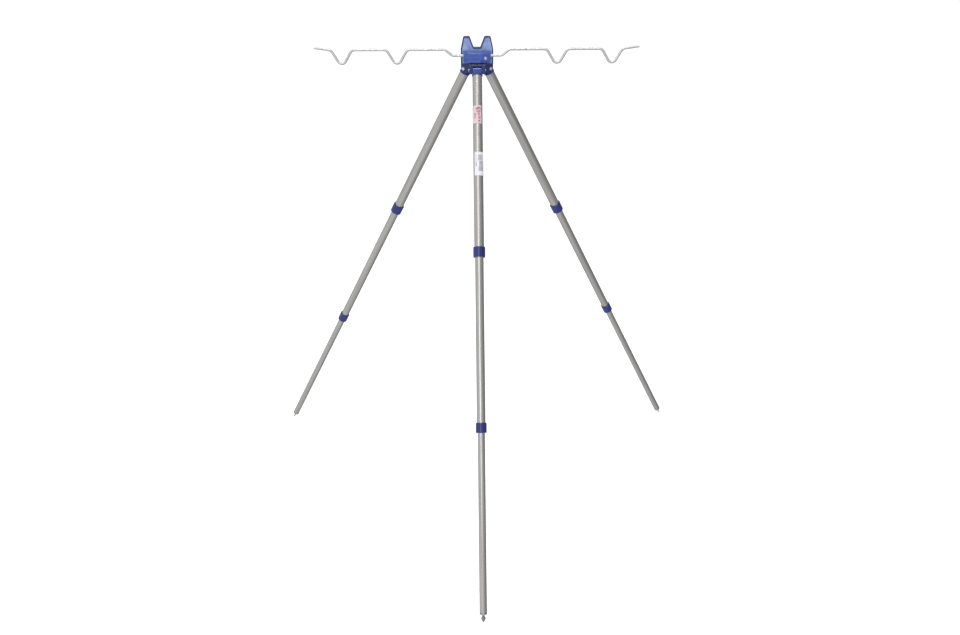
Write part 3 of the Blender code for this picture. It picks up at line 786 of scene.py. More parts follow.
@dataclass
class Finishes:
    """Every finish of the tripod, made once and shared."""

    frames: dict[Side, Matrix]
    plain: dict[str, bpy.types.Material] = field(default_factory=dict)
    tubes: dict[Side, bpy.types.Material] = field(default_factory=dict)

    def make(self) -> None:
        """Make all the shared materials."""
        recipes = (
            GlossMoulding("head_blue", (0.008, 0.020, 0.115, 1), (0.005, 0.014, 0.085, 1), coat=0.15),
            GlossMoulding("cover_blue", (0.030, 0.074, 0.330, 1), (0.020, 0.054, 0.250, 1), 0.18),
            GlossMoulding("cap_blue", (0.006, 0.034, 0.240, 1), (0.004, 0.025, 0.185, 1), 0.2, coat=0.1),
            GlossMoulding("collar_blue", (0.006, 0.015, 0.150, 1), (0.004, 0.010, 0.110, 1), 0.13),
            # The panels are the head's own plastic: their paler blue is a painted reflection of a soft box,
            # while their satin roughness and sheen are real.
            SatinPanel("panel_blue_painted_reflection", (0.240, 0.320, 0.570, 1), (0.150, 0.215, 0.440, 1)),
            PlatedSteel("arm_wire", (0.73, 0.73, 0.74, 1), (0.62, 0.62, 0.63, 1), 0.50),
            PlatedSteel("bright_rivet", (0.72, 0.76, 0.84, 1), (0.55, 0.58, 0.66, 1), 0.2),
            PlatedSteel("foot_metal", (0.40, 0.39, 0.38, 1), (0.26, 0.25, 0.25, 1), 0.3),
            MattMoulding("lock_black", (0.045, 0.045, 0.05, 1), (0.03, 0.03, 0.033, 1)),
            MattMoulding("sleeve_grey", (0.62, 0.62, 0.59, 1), (0.52, 0.52, 0.49, 1)),
        )
        self.plain = {recipe.name: recipe.material() for recipe in recipes}
        light, dark = (0.60, 0.585, 0.56, 1), (0.44, 0.425, 0.40, 1)
        for side, frame in self.frames.items():
            self.tubes[side] = DrawnAluminium(f"{side.value}_leg_tube", light, dark).material(frame)


def dress(piece: Shape, *materials: bpy.types.Material) -> Shape:
    """Give a piece its materials in place of any it has.

    Args:
        piece: The object.
        materials: Its materials by slot.

    Returns:
        The same object.
    """
    piece.data.materials.clear()
    for material in materials:
        piece.data.materials.append(material)
    return piece


def stand_for(piece: Shape, node: str, body: str) -> None:
    """Put a piece on its body in place of the frame's plain node.

    Args:
        piece: The finished piece.
        node: The frame's node that it stands for.
        body: The body that it rides on.
    """
    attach(piece, body)
    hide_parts(node)
    LOG.info("%s rides on %s: %d faces", piece.name, body, len(piece.data.polygons))


# ---------------------------------------------------------------- head


@dataclass
class ForkHead:
    """The one-piece moulded head: fork plate with two ears, crown and three clevises."""

    hub: Vector
    frames: dict[Side, Matrix]
    half_width: float = 0.0368
    front: float = -0.0105
    back: float = 0.0055
    bottom: float = 0.0102
    shoulder: float = 0.0440
    ear_top: float = 0.0720
    ear_outer: float = 0.0307
    ear_inner: float = 0.0168
    notch_half: float = 0.0077
    notch_floor: float = 0.0480
    rim: float = 0.0024
    recess: float = 0.0015
    pocket: float = 0.0110
    pivot_radius: float = 0.0260
    cheek_half: float = 0.0185
    cheek_radius: float = 0.0090
    cheek_reach: float = 0.0060
    crown_low: float = 0.0092
    crown_high: float = 0.0132
    slot_half: float = 0.0103
    core: float = 0.0148
    pin_hole: float = 0.0029
    arm_x: float = 0.0190
    arm_height: float = 0.0258
    screw_hole: float = 0.0021
    pad_radius: float = 0.0062

    def outline(self) -> list[Vector]:
        """The fork plate's outline on its front plane.

        Returns:
            The outline's points.
        """
        right = [
            (self.half_width, self.bottom, 0.0030),
            (self.half_width, self.shoulder, 0.0120),
            (self.ear_outer, self.ear_top, 0.0042),
            (self.ear_inner, self.ear_top, 0.0042),
            (self.notch_half, self.notch_floor, 0.0012),
        ]
        left = [(-x, z, r) for x, z, r in reversed(right)]
        return [Vector((x, self.front, z)) for x, z in rounded(right + left)]

    def plate(self) -> Shape:
        """The plate with its front recess and the deep pocket behind.

        Returns:
            The fork plate.
        """
        piece = slab("head_moulding", self.outline(), Vector((0, self.back - self.front, 0)))
        with editing(piece, Pick.FACES):
            pick_faces(piece, lambda place, normal: normal.y < -0.9)
            bpy.ops.mesh.inset(thickness=self.rim * 0.8, depth=0.0)
            bpy.ops.mesh.inset(thickness=self.rim * 0.25, depth=-self.recess)
        with editing(piece, Pick.FACES):
            pick_faces(piece, lambda place, normal: normal.y > 0.9)
            bpy.ops.mesh.inset(thickness=self.rim * 0.8, depth=0.0)
            bpy.ops.mesh.inset(thickness=self.rim * 0.3, depth=-self.pocket)
        soften(piece, 0.0005, 3, 50.0)
        return piece

    def ribs(self) -> list[Shape]:
        """The ribs that divide the pocket behind the plate.

        Returns:
            The ribs.
        """
        low, high = self.back - self.pocket - 0.0005, self.back - 0.0006
        half = 0.0012
        made = []
        for x in (-self.notch_half, self.notch_half):
            top = self.notch_floor - 0.0008
            made.append(brick("rib", (x - half, low, self.bottom + 0.001), (x + half, high, top)))
        for z, wide in ((self.crown_high, 0.0355), (self.shoulder, 0.0352)):
            made.append(brick("rib", (-wide, low, z - half), (wide, high, z + half)))
        for rib in made:
            soften(rib, 0.0004, 2)
        return made

    def clevis(self, frame: Matrix) -> Shape:
        """Both cheeks and the crown over one leg.

        Args:
            frame: That leg's frame.

        Returns:
            The clevis, round the hub.
        """
        reach = self.pivot_radius + self.cheek_reach
        arc = bow((self.pivot_radius, 0), self.cheek_radius, -90, -48.19, 8)
        outline = [(r, z) for r, z in arc]
        ledge = [(reach, -0.0067, 0), (reach, self.crown_high, 0.0016), (0, self.crown_high, 0)]
        outline += rounded(ledge, 4, False)[1:]
        outline += [(0, -self.cheek_radius)]
        points = [Vector((r, -self.cheek_half, z)) for r, z in outline]
        piece = slab("clevis", points, Vector((0, 2 * self.cheek_half, 0)))
        soften(piece, 0.0007, 3, 60.0)
        slot = brick("slot", (self.core, -self.slot_half, -0.02), (0.06, self.slot_half, self.crown_low))
        soften(slot, 0.0006, 3, 60.0)
        combine(piece, slot, "DIFFERENCE")
        hole = turn("hole", [(0, -0.03), (self.pin_hole, -0.03), (self.pin_hole, 0.03), (0, 0.03)], 40)
        put(hole, Matrix.Translation((self.pivot_radius, 0, 0)) @ Matrix.Rotation(math.pi / 2, 4, "X"))
        combine(piece, hole, "DIFFERENCE")
        outward = frame.to_3x3() @ Vector((0, 1, 0))
        angle = math.atan2(-outward.x, outward.y)
        return put(piece, Matrix.Rotation(angle, 4, "Z"))

    def forward_boss(self, x: float, radius: float, start: float, end: float) -> Shape:
        """A round boss about a front-to-back axis through an arm's pivot.

        Args:
            x: The pivot's x.
            radius: The boss's radius.
            start: Its back end, as a distance in front of the hub.
            end: Its front end.

        Returns:
            The boss.
        """
        profile = [(0, start), (radius, start), (radius, end - 0.0004), (radius - 0.0004, end), (0, end)]
        piece = turn("boss", profile, 48)
        spot = Matrix.Translation((x, 0, self.arm_height))
        return put(piece, spot @ Matrix.Rotation(math.pi / 2, 4, "X"))

    def build(self, finishes: Finishes) -> None:
        """Build and dress the head.

        Args:
            finishes: The tripod's finishes.
        """
        piece = self.plate()
        for rib in self.ribs():
            combine(piece, rib, "UNION")
        for x in (-self.arm_x, self.arm_x):
            combine(piece, self.forward_boss(x, self.pad_radius, 0.0, -self.front), "UNION")
        for side in Side:
            combine(piece, self.clevis(self.frames[side]), "UNION")
        for x in (-self.arm_x, self.arm_x):
            combine(piece, self.forward_boss(x, self.screw_hole, 0.002, 0.020), "DIFFERENCE")
        put(piece, Matrix.Translation(self.hub))
        smooth(piece, 32.0)
        dress(piece, finishes.plain["head_blue"], finishes.plain["panel_blue_painted_reflection"])
        depth = self.hub.y + self.front + self.recess
        # The recessed front faces get the panel finish, whose paler blue is a painted reflection on the
        # head's own plastic.
        for face in piece.data.polygons:
            recessed = abs(face.center.y - depth) < 0.0002 and face.normal.y < -0.9
            face.material_index = int(recessed)
        stand_for(piece, "head_body", "head")


@dataclass
class PivotCover:
    """The moulded cover over the arms' eyelets, with its lip, boss and screw."""

    hub: Vector
    half_width: float = 0.0304
    low: float = 0.0165
    high: float = 0.0407
    wall: float = 0.0025
    bulge: float = 0.0050
    nose: float = -0.0252
    back: float = -0.0108
    slope: float = 0.0045
    side_low: float = 0.0360
    lip_start: float = -0.0280
    lip_end: float = 0.0080
    lip_height: float = 0.0060
    lip_depth: float = 0.0028
    boss_x: float = 0.0190
    boss_height: float = 0.0258
    boss_radius: float = 0.0062
    boss_depth: float = 0.0030
    boss_start: float = 0.0175
    screw_radius: float = 0.0018
    screw_head: float = 0.0034
    screw_depth: float = 0.0022
    screw_tip: float = 0.0026

    def face_y(self, x: float, inset: float = 0.0) -> float:
        """The bulged front face's y at this x, or inside its wall."""
        return self.nose + self.bulge * (x / self.half_width) ** 2 + inset

    def plan(self, half: float, inset: float, back: float, steps: int = 27) -> list[Point]:
        """The cover seen from above.

        Args:
            half: Half its width.
            inset: How far inside the front face it runs.
            back: The y of its straight back.
            steps: Stretches along the bulged front.

        Returns:
            The outline's points.
        """
        xs = [-half + 2 * half * i / steps for i in range(steps + 1)]
        return [(x, self.face_y(x, inset)) for x in xs] + [(half, back), (-half, back)]

    def shell(self) -> Shape:
        """The cover's shell with its sloped brow, open behind, below and at its lower sides.

        Returns:
            The shell.
        """
        outline = [Vector((x, y, self.low)) for x, y in self.plan(self.half_width, 0.0, self.back)]
        piece = slab("pivot_cover", outline, Vector((0, 0, self.high - self.low)))
        nose, top = self.face_y(self.half_width) + 0.0005, self.high - 1e-5
        with editing(piece, Pick.EDGES):
            pick_edges(piece, lambda a, b: min(a.z, b.z) > top and max(a.y, b.y) < nose)
            bpy.ops.mesh.bevel(offset=self.slope, segments=1, clamp_overlap=True)
        soften(piece, 0.0006, 3, 25.0)
        inside = [
            Vector((x, y, self.low - 0.003))
            for x, y in self.plan(self.half_width - self.wall, self.wall, self.back + 0.004)
        ]
        rise = Vector((0, 0, self.high - self.wall * 1.4 - self.low + 0.003))
        combine(piece, slab("inside", inside, rise), "DIFFERENCE")
        front = self.face_y(self.half_width, self.wall)
        for hand in (-1, 1):
            ends = sorted((hand * (self.half_width - self.wall - 0.001), hand * (self.half_width + 0.004)))
            near = (ends[0], front, self.low - 0.006)
            far = (ends[1], self.back + 0.006, self.side_low)
            gap = brick("gap", near, far)
            combine(piece, gap, "DIFFERENCE")
        return piece

    def lip(self) -> Shape:
        """The finger lip along the lower front edge, tapering away beside the boss.

        Returns:
            The lip.
        """
        steps = 14
        xs = [self.lip_start + (self.lip_end - self.lip_start) * i / steps for i in range(steps + 1)]
        outline = [Vector((x, self.face_y(x) - self.lip_depth, self.low - 0.0004)) for x in xs]
        outline += [
            Vector((x, self.face_y(x, self.wall / 2), self.low - 0.0004))
            for x in (self.lip_end + 0.0045, self.lip_start)
        ]
        piece = slab("lip", outline, Vector((0, 0, self.lip_height)))
        with editing(piece, Pick.EDGES):
            high = self.low - 0.0004 + self.lip_height - 1e-5
            pick_edges(
                piece,
                lambda a, b: min(a.z, b.z) > high and all(p.y < self.face_y(p.x) - 1e-4 for p in (a, b)),
            )
            bpy.ops.mesh.bevel(offset=0.0022, segments=4, profile=0.6, clamp_overlap=True)
        soften(piece, 0.0006, 3, 50.0)
        return piece

    def forward(self, piece: Shape) -> Shape:
        """Turn a round piece to lie front to back on the screw's axis."""
        spot = Matrix.Translation((self.boss_x, 0, self.boss_height))
        return put(piece, spot @ Matrix.Rotation(math.pi / 2, 4, "X"))

    def build(self, finishes: Finishes) -> None:
        """Build and dress the cover and its screw.

        Args:
            finishes: The tripod's finishes.
        """
        cover = self.shell()
        combine(cover, self.lip(), "UNION")
        tall = self.boss_depth - self.face_y(self.boss_x)
        radius, edge = self.boss_radius, 0.0008
        profile = [(0, self.boss_start), (radius, self.boss_start), (radius, tall - edge)]
        profile += bow((radius - edge, tall - edge), edge, 0, 90, 5)[1:]
        combine(cover, self.forward(turn("boss", [*profile, (0, tall)])), "UNION")
        seat = tall - self.screw_depth
        cuts = [(0, 0.010), (self.screw_radius + GAP, 0.010), (self.screw_radius + GAP, seat)]
        cuts += [(self.screw_head + GAP, seat), (self.screw_head + GAP, tall - 0.0003)]
        flare = self.screw_head + GAP + 0.0004
        cuts += [(flare, tall + 0.0001), (flare, tall + 0.002)]
        combine(cover, self.forward(turn("bore", [*cuts, (0, tall + 0.002)])), "DIFFERENCE")
        put(cover, Matrix.Translation(self.hub))
        smooth(cover, 30.0)
        dress(cover, finishes.plain["cover_blue"])
        stand_for(cover, "arm_cover", "head")
        self.screw(seat + GAP, finishes)

    def screw(self, seat: float, finishes: Finishes) -> None:
        """Build and dress the cross-headed screw.

        Args:
            seat: Where its head sits, in front of the hub.
            finishes: The tripod's finishes.
        """
        crown = seat + self.screw_depth
        head = self.screw_head
        profile = [(0, self.screw_tip), (self.screw_radius - 0.0006, self.screw_tip)]
        profile += [(self.screw_radius, self.screw_tip + 0.0008), (self.screw_radius, seat), (head, seat)]
        profile += [(head, seat + 0.0010), (head * 0.96, seat + 0.0014), (head * 0.84, seat + 0.00175)]
        profile += [(head * 0.62, seat + 0.00200), (head * 0.35, crown - 0.00005), (0, crown)]
        piece = turn("cover_cross_screw", profile, 48)
        for wide, deep in ((0.0022, 0.0005), (0.0005, 0.0022)):
            drive = brick("drive", (-wide, -deep, crown - 0.0013), (wide, deep, crown + 0.002))
            combine(piece, drive, "DIFFERENCE")
        self.forward(piece)
        put(piece, Matrix.Translation(self.hub))
        smooth(piece, 30.0)
        dress(piece, finishes.plain["bright_rivet"])
        stand_for(piece, "cover_screw", "head")


@dataclass
class WireArms:
    """The two bent-wire arms: eyelet, stub, step, two V cradles and a raised end."""

    hub: Vector
    plane: float = -0.0141
    radius: float = 0.0031
    pivot_x: float = 0.0190
    pivot_height: float = 0.0258
    eyelet: float = 0.0052
    eyelet_arc: float = 280.0
    stub_end: float = 0.0555
    step_end: float = 0.0735
    level: float = 0.0445
    cradles: tuple[float, float] = (0.1805, 0.3050)
    cradle_half: float = 0.0235
    cradle_depth: float = 0.0394
    bend: float = 0.0110
    cradle_bend: float = 0.0099
    tip: Point = (0.3660, 0.0500)

    def route(self) -> list[Point]:
        """The right arm's middle line in X and Z, round the hub.

        Returns:
            The line's points.
        """
        centre = (self.pivot_x, self.pivot_height)
        ring = bow(centre, self.eyelet, 90 + self.eyelet_arc, 90, 40)
        corners: list[Point3] = [(*ring[-1], 0.0)]
        corners.append((self.stub_end, centre[1] + self.eyelet, self.bend))
        corners.append((self.step_end, self.level, self.bend))
        for middle in self.cradles:
            corners += [
                (middle - self.cradle_half, self.level, self.bend),
                (middle, self.level - self.cradle_depth, self.cradle_bend),
                (middle + self.cradle_half, self.level, self.bend),
            ]
        corners.append((*self.tip, 0.0))
        return ring[:-1] + rounded(corners, 9, False)

    def bend_wire(self, name: str, hand: int) -> Shape:
        """Bend one arm from round wire.

        Args:
            name: Its name.
            hand: +1 on the right and -1 on the left.

        Returns:
            The arm.
        """
        select_nothing()
        bpy.ops.curve.primitive_bezier_curve_add()
        piece = bpy.context.object
        piece.name = name
        line = piece.data
        line.splines.clear()
        spline = line.splines.new("POLY")
        points = self.route()
        spline.points.add(len(points) - 1)
        for point, (x, z) in zip(spline.points, points):
            point.co = (hand * x, self.plane, z, 1.0)
        line.dimensions = "3D"
        line.twist_mode = "MINIMUM"
        line.bevel_depth = self.radius
        line.bevel_resolution = 6
        line.use_fill_caps = True
        select_only(piece)
        bpy.ops.object.convert(target="MESH")
        piece = bpy.context.object
        with editing(piece, Pick.POINTS):
            bpy.ops.mesh.select_all(action="SELECT")
            bpy.ops.mesh.remove_doubles(threshold=1e-6)
            bpy.ops.mesh.normals_make_consistent(inside=False)
        soften(piece, 0.0005, 3, 60.0)
        return piece

    def build(self, finishes: Finishes) -> None:
        """Build and dress both arms.

        Args:
            finishes: The tripod's finishes.
        """
        for word, hand in (("left", -1), ("right", 1)):
            arm = self.bend_wire(f"{word}_cradle_arm", hand)
            put(arm, Matrix.Translation(self.hub))
            smooth(arm, 40.0)
            dress(arm, finishes.plain["arm_wire"])
            stand_for(arm, f"{word}_wire_arm", f"{word}_arm")


# ---------------------------------------------------------------- legs


@dataclass
class LegParts:
    """The pieces that all three legs share, each modelled once at the top of its own leg frame."""

    upper_radius: float = 0.0110
    middle_radius: float = 0.0095
    lower_radius: float = 0.0080
    wall: float = 0.0010
    collar_wall: float = 0.0022
    lip: float = 0.0020
    cap_top: float = 0.0110
    skirt: float = 0.0026
    skirt_wall: float = 0.0010
    plug: float = 0.0140
    tongue_half: float = 0.0100
    tongue_depth: float = 0.0080
    pin_radius: float = 0.0026
    pin_face: float = 0.0188
    rivet_radius: float = 0.0040
    rivet_height: float = 0.0014

    def tube(self, name: str, radius: float, length: float) -> Shape:
        """A length of tube hanging from z = 0, with its rims broken.

        Args:
            name: Its name.
            radius: Its outer radius.
            length: Its length.

        Returns:
            The tube.
        """
        inner, edge = radius - self.wall, 0.00025
        profile = [(radius - edge, 0.0), (radius, -edge), (radius, edge - length), (radius - edge, -length)]
        profile += [(inner + edge, -length), (inner, edge - length), (inner, -edge), (inner + edge, 0.0)]
        return smooth(turn(name, profile, 64, True), 30.0)

    def collar(self, name: str, radius: float, inner: float, length: float) -> Shape:
        """A moulded collar whose far end is at z = -length.

        Args:
            name: Its name.
            radius: The radius of the tube that it is pressed on.
            inner: The radius of the tube that slides through it.
            length: Its length.

        Returns:
            The collar.
        """
        bore = radius + GAP
        outer = bore + self.collar_wall
        lip = inner + GAP
        edge = 0.0011
        profile = [(bore, 0.0)]
        profile += bow((outer - edge, -edge), edge, 90, 0, 6)
        profile += bow((outer - edge, edge - length), edge, 0, -90, 6)
        profile += [(lip + 0.0004, -length), (lip, 0.0004 - length)]
        profile += [(lip, self.lip - length), (bore, self.lip - length)]
        return smooth(turn(name, profile, 72, True), 30.0)

    def cap(self, name: str) -> Shape:
        """The moulded cap: hinge tongue, skirt over the tube and plug inside it.

        Args:
            name: Its name.

        Returns:
            The cap, in the leg's frame.
        """
        outer = self.upper_radius + GAP + self.skirt_wall
        inner = self.upper_radius - self.wall - GAP
        top, low = -self.cap_top, -self.cap_top - self.skirt
        roof, end, edge = top - self.skirt_wall, low - self.plug, 0.0007
        profile = [(0, top)]
        profile += bow((outer - edge, top - edge), edge, 90, 0, 6)
        profile += bow((outer - 0.0004, low + 0.0004), 0.0004, 0, -90, 3)
        profile += [(outer - self.skirt_wall, low), (outer - self.skirt_wall, roof), (inner, roof)]
        profile += [(inner, end + 0.001), (inner - 0.001, end), (0, end)]
        piece = turn(name, profile, 72)
        deep, half = self.tongue_depth, self.tongue_half
        outline = [(-deep, top - 0.0006), (-deep, deep), *bow((0, 0), deep, 90, 0, 20), (deep, top - 0.0006)]
        tongue = slab("tongue", [Vector((x, -half, z)) for x, z in outline], Vector((0, 2 * half, 0)))
        soften(tongue, 0.0006, 3, 50.0)
        combine(piece, tongue, "UNION")
        bore = self.pin_radius + GAP
        hole = turn("hole", [(0, -0.02), (bore, -0.02), (bore, 0.02), (0, 0.02)], 40)
        put(hole, Matrix.Rotation(math.pi / 2, 4, "X"))
        combine(piece, hole, "DIFFERENCE")
        return smooth(piece, 30.0)

    def pin(self, name: str) -> Shape:
        """The hinge pin with its two domed rivet heads, along local Y.

        Args:
            name: Its name.

        Returns:
            The pin, in the leg's frame.
        """
        face, head, tall = self.pin_face, self.rivet_radius, self.rivet_height
        half = [(self.pin_radius, face), (head - 0.0002, face), (head, face + 0.0002)]
        for step in range(1, 8):
            angle = math.radians(step * 12.5)
            half.append((head * math.cos(angle), face + 0.0002 + (tall - 0.0002) * math.sin(angle)))
        half.append((0, face + tall))
        profile = [(r, -z) for r, z in reversed(half)] + half
        piece = turn(name, profile, 48)
        put(piece, Matrix.Rotation(math.pi / 2, 4, "X"))
        return smooth(piece, 30.0)


@dataclass
class Foot:
    """The turned bung in a lower tube's end and its flattened steel point."""

    tube_radius: float = 0.0080
    wall: float = 0.0010
    insert: float = 0.0200
    flange: float = 0.0026
    socket: float = 0.0120
    neck: float = 0.0024
    half_width: float = 0.0050
    half_thick: float = 0.0017
    tip: float = 0.0005
    reach: float = 0.0193

    def bung(self, name: str) -> Shape:
        """The bung, with the tube's end at z = 0.

        Args:
            name: Its name.

        Returns:
            The bung.
        """
        plug = self.tube_radius - self.wall - GAP
        bottom = -GAP - self.flange
        hole = self.neck + GAP
        profile = [(0, self.insert), (plug - 0.001, self.insert), (plug, self.insert - 0.001), (plug, -GAP)]
        profile += [(self.tube_radius - 0.0002, -GAP), (self.tube_radius, -GAP - 0.0003)]
        profile += bow((self.tube_radius - 0.0014, bottom + 0.0014), 0.0014, 0, -60, 5)
        profile += [(self.tube_radius - 0.0030, bottom), (hole, bottom), (hole, bottom + self.socket)]
        profile += [(0, bottom + self.socket)]
        return smooth(turn(name, profile, 56), 30.0)

    def spike(self, name: str) -> Shape:
        """The point: a round neck beaten out to a leaf with a ridge down each face.

        Args:
            name: Its name.

        Returns:
            The point.
        """
        bottom = -GAP - self.flange
        high = bottom - 0.0020
        wide = high - 0.0005 - (high - 0.0005 + self.reach) * 0.42
        rows = (
            (high, self.neck * 0.80, self.neck * 0.80),
            (high * 0.62 + wide * 0.38, self.neck * 0.86, self.half_width * 0.66),
            (high * 0.28 + wide * 0.72, self.neck * 0.80, self.half_width * 0.92),
            (wide, self.half_thick, self.half_width),
            (wide * 0.5 - self.reach * 0.5, self.half_thick * 0.68, self.half_width * 0.60),
            (-self.reach, self.tip, self.tip),
        )
        select_nothing()
        bpy.ops.mesh.primitive_circle_add(vertices=4, radius=1.0, fill_type="NGON")
        piece = bpy.context.object
        piece.name = name
        with editing(piece, Pick.FACES):
            bpy.ops.mesh.select_all(action="SELECT")
            bpy.ops.transform.resize(value=(rows[0][1], rows[0][2], 1.0))
            bpy.ops.transform.translate(value=(0, 0, rows[0][0]))
            for (z0, x0, y0), (z1, x1, y1) in zip(rows, rows[1:]):
                bpy.ops.mesh.extrude_region_move(TRANSFORM_OT_translate={"value": (0, 0, z1 - z0)})
                bpy.ops.transform.resize(value=(x1 / x0, y1 / y0, 1.0))
            bpy.ops.mesh.select_all(action="SELECT")
            bpy.ops.mesh.normals_make_consistent(inside=False)
        soften(piece, 0.00025, 2, 28.0)
        top = bottom + self.socket - GAP
        profile = [(0, top), (self.neck - 0.0003, top), (self.neck, top - 0.0003)]
        profile += [(self.neck, bottom - 0.0028)]
        profile += [(self.neck * 0.8, bottom - 0.0040), (0, bottom - 0.0044)]
        combine(piece, turn("neck", profile, 40), "UNION")
        return smooth(piece, 30.0)


@dataclass
class TelescopicLeg:
    """One leg, whose shared parts are put at the places that the frame gives."""

    side: Side
    frame: Matrix
    nodes: dict[str, Shape]

    def span(self, node: str) -> tuple[float, float]:
        """How far down the leg a node of the frame starts and ends.

        Args:
            node: The node's name, without the leg's.

        Returns:
            Its top and its bottom, from the hinge pin.
        """
        inverse = self.frame.inverted()
        mesh = self.nodes[f"{self.side.value}_{node}"].data
        depths = [-(inverse @ vertex.co).z for vertex in mesh.vertices]
        return min(depths), max(depths)

    def set_down(self, part: Shape, name: str, depth: float, node: str, body: str) -> Shape:
        """Copy a shared part to its place on this leg.

        Args:
            part: The shared part.
            name: The copy's name.
            depth: How far down the leg its own origin goes.
            node: The frame's node that it stands for, without the leg's name.
            body: The body that it rides on, without the leg's name.

        Returns:
            The copy.
        """
        word = self.side.value
        piece = copy_of(part, f"{word}_{name}")
        put(piece, self.frame @ Matrix.Translation((0, 0, -depth)))
        stand_for(piece, f"{word}_{node}", f"{word}_{body}")
        return piece

    def build(self, store: dict[str, Shape], finishes: Finishes) -> None:
        """Put the leg together and dress it.

        Args:
            store: The shared parts.
            finishes: The tripod's finishes.
        """
        word, plain, tube = self.side.value, finishes.plain, finishes.tubes[self.side]
        cap = self.set_down(store["cap"], "hinge_cap", 0.0, "leg_cap", "leg")
        dress(cap, plain["cap_blue"])
        pin = copy_of(store["pin"], f"{word}_hinge_rivet")
        put(pin, self.frame)
        stand_for(pin, f"{word}_leg_pin", "head")
        dress(pin, plain["bright_rivet"])
        for stage in Stage:
            node = f"{stage.value}_tube"
            body = "leg" if stage is Stage.UPPER else stage.value
            depth = self.span(node)[0]
            title = f"{stage.value}_drawn_tube"
            piece = self.set_down(store[node], title, depth, node, body)
            dress(piece, tube)
        for stage, body in ((Stage.UPPER, "leg"), (Stage.LOWER, "middle")):
            node = f"{stage.value}_collar"
            depth = self.span(node)[0]
            title = f"{stage.value}_grip_collar"
            piece = self.set_down(store[node], title, depth, node, body)
            dress(piece, plain["collar_blue"])
        end = self.span("lower_tube")[1]
        bung = self.set_down(store["bung"], "foot_bung", end, "foot_plug", "lower")
        dress(bung, plain["foot_metal"])
        spike = self.set_down(store["spike"], "ground_point", end, "foot_spike", "lower")
        dress(spike, plain["foot_metal"])
        for stage in (Stage.MIDDLE, Stage.LOWER):
            dress(self.nodes[f"{word}_{stage.value}_lock_screw"], plain["lock_black"])
            dress(self.nodes[f"{word}_{stage.value}_expander"], plain["sleeve_grey"])


@dataclass
class Stickers:
    """The two wrapped stickers on the front leg's upper tube."""

    frame: Matrix
    tube_radius: float = 0.0110
    thickness: float = 0.0003
    arc: float = 150.0
    upper: Point3 = (0.0850, 0.1266, -30.0)
    lower: Point3 = (0.1920, 0.2457, 30.0)

    def wrap(self, name: str, top: float, bottom: float, turned: float) -> Shape:
        """A thin shell wrapped round the outward side of the tube.

        Args:
            name: Its name.
            top: Its upper edge, down the leg.
            bottom: Its lower edge.
            turned: The turn of its middle from straight outwards, in degrees.

        Returns:
            The sticker.
        """
        inner, start, end = self.tube_radius + GAP, turned - self.arc / 2, turned + self.arc / 2
        outline = bow((0, 0), inner + self.thickness, start, end, 48)
        outline += bow((0, 0), inner, end, start, 48)
        points = [Vector((x, y, -bottom)) for x, y in outline]
        piece = slab(name, points, Vector((0, 0, bottom - top)))
        return smooth(piece, 30.0)

    def build(self) -> None:
        """Build and dress both stickers."""
        for finish, node, place in (
            (self.pink(), "front_leg_label_upper", self.upper),
            (self.barred(), "front_leg_label_lower", self.lower),
        ):
            piece = self.wrap(finish.name, *place)
            put(piece, self.frame)
            dress(piece, finish.material(self.frame))
            stand_for(piece, node, "front_leg")

    def pink(self) -> Sticker:
        """The upper sticker: a ragged column of dark red blocks on a pink ground.

        Returns:
            The sticker.
        """
        top = self.upper[0]
        return Sticker(
            "pink_sticker",
            (0.60, 0.44, 0.47, 1),
            (0.20, 0.025, 0.055, 1),
            (
                (top + 0.0040, top + 0.0065, -8, 34, 0),
                (top + 0.0065, top + 0.0100, -24, 10, 0),
                (top + 0.0075, top + 0.0125, 16, 40, 2),
                (top + 0.0125, top + 0.0150, -16, 30, 0),
                (top + 0.0165, top + 0.0240, -4, 26, 3),
                (top + 0.0180, top + 0.0300, -44, -20, 6),
                (top + 0.0250, top + 0.0330, 4, 32, 3),
                (top + 0.0345, top + 0.0375, 2, 28, 0),
            ),
        )

    def barred(self) -> Sticker:
        """The lower sticker: a column of grey bars on a white ground.

        Returns:
            The sticker.
        """
        top = self.lower[0]
        return Sticker(
            "barred_sticker",
            (0.66, 0.66, 0.70, 1),
            (0.10, 0.10, 0.11, 1),
            (
                (top + 0.0070, top + 0.0200, -4, 52, 7),
                (top + 0.0210, top + 0.0320, 8, 64, 5),
                (top + 0.0325, top + 0.0440, 2, 70, 5),
                (top + 0.0060, top + 0.0220, -28, -24, 0),
                (top + 0.0240, top + 0.0330, -32, -18, 4),
            ),
        )


# ---------------------------------------------------------------- studio


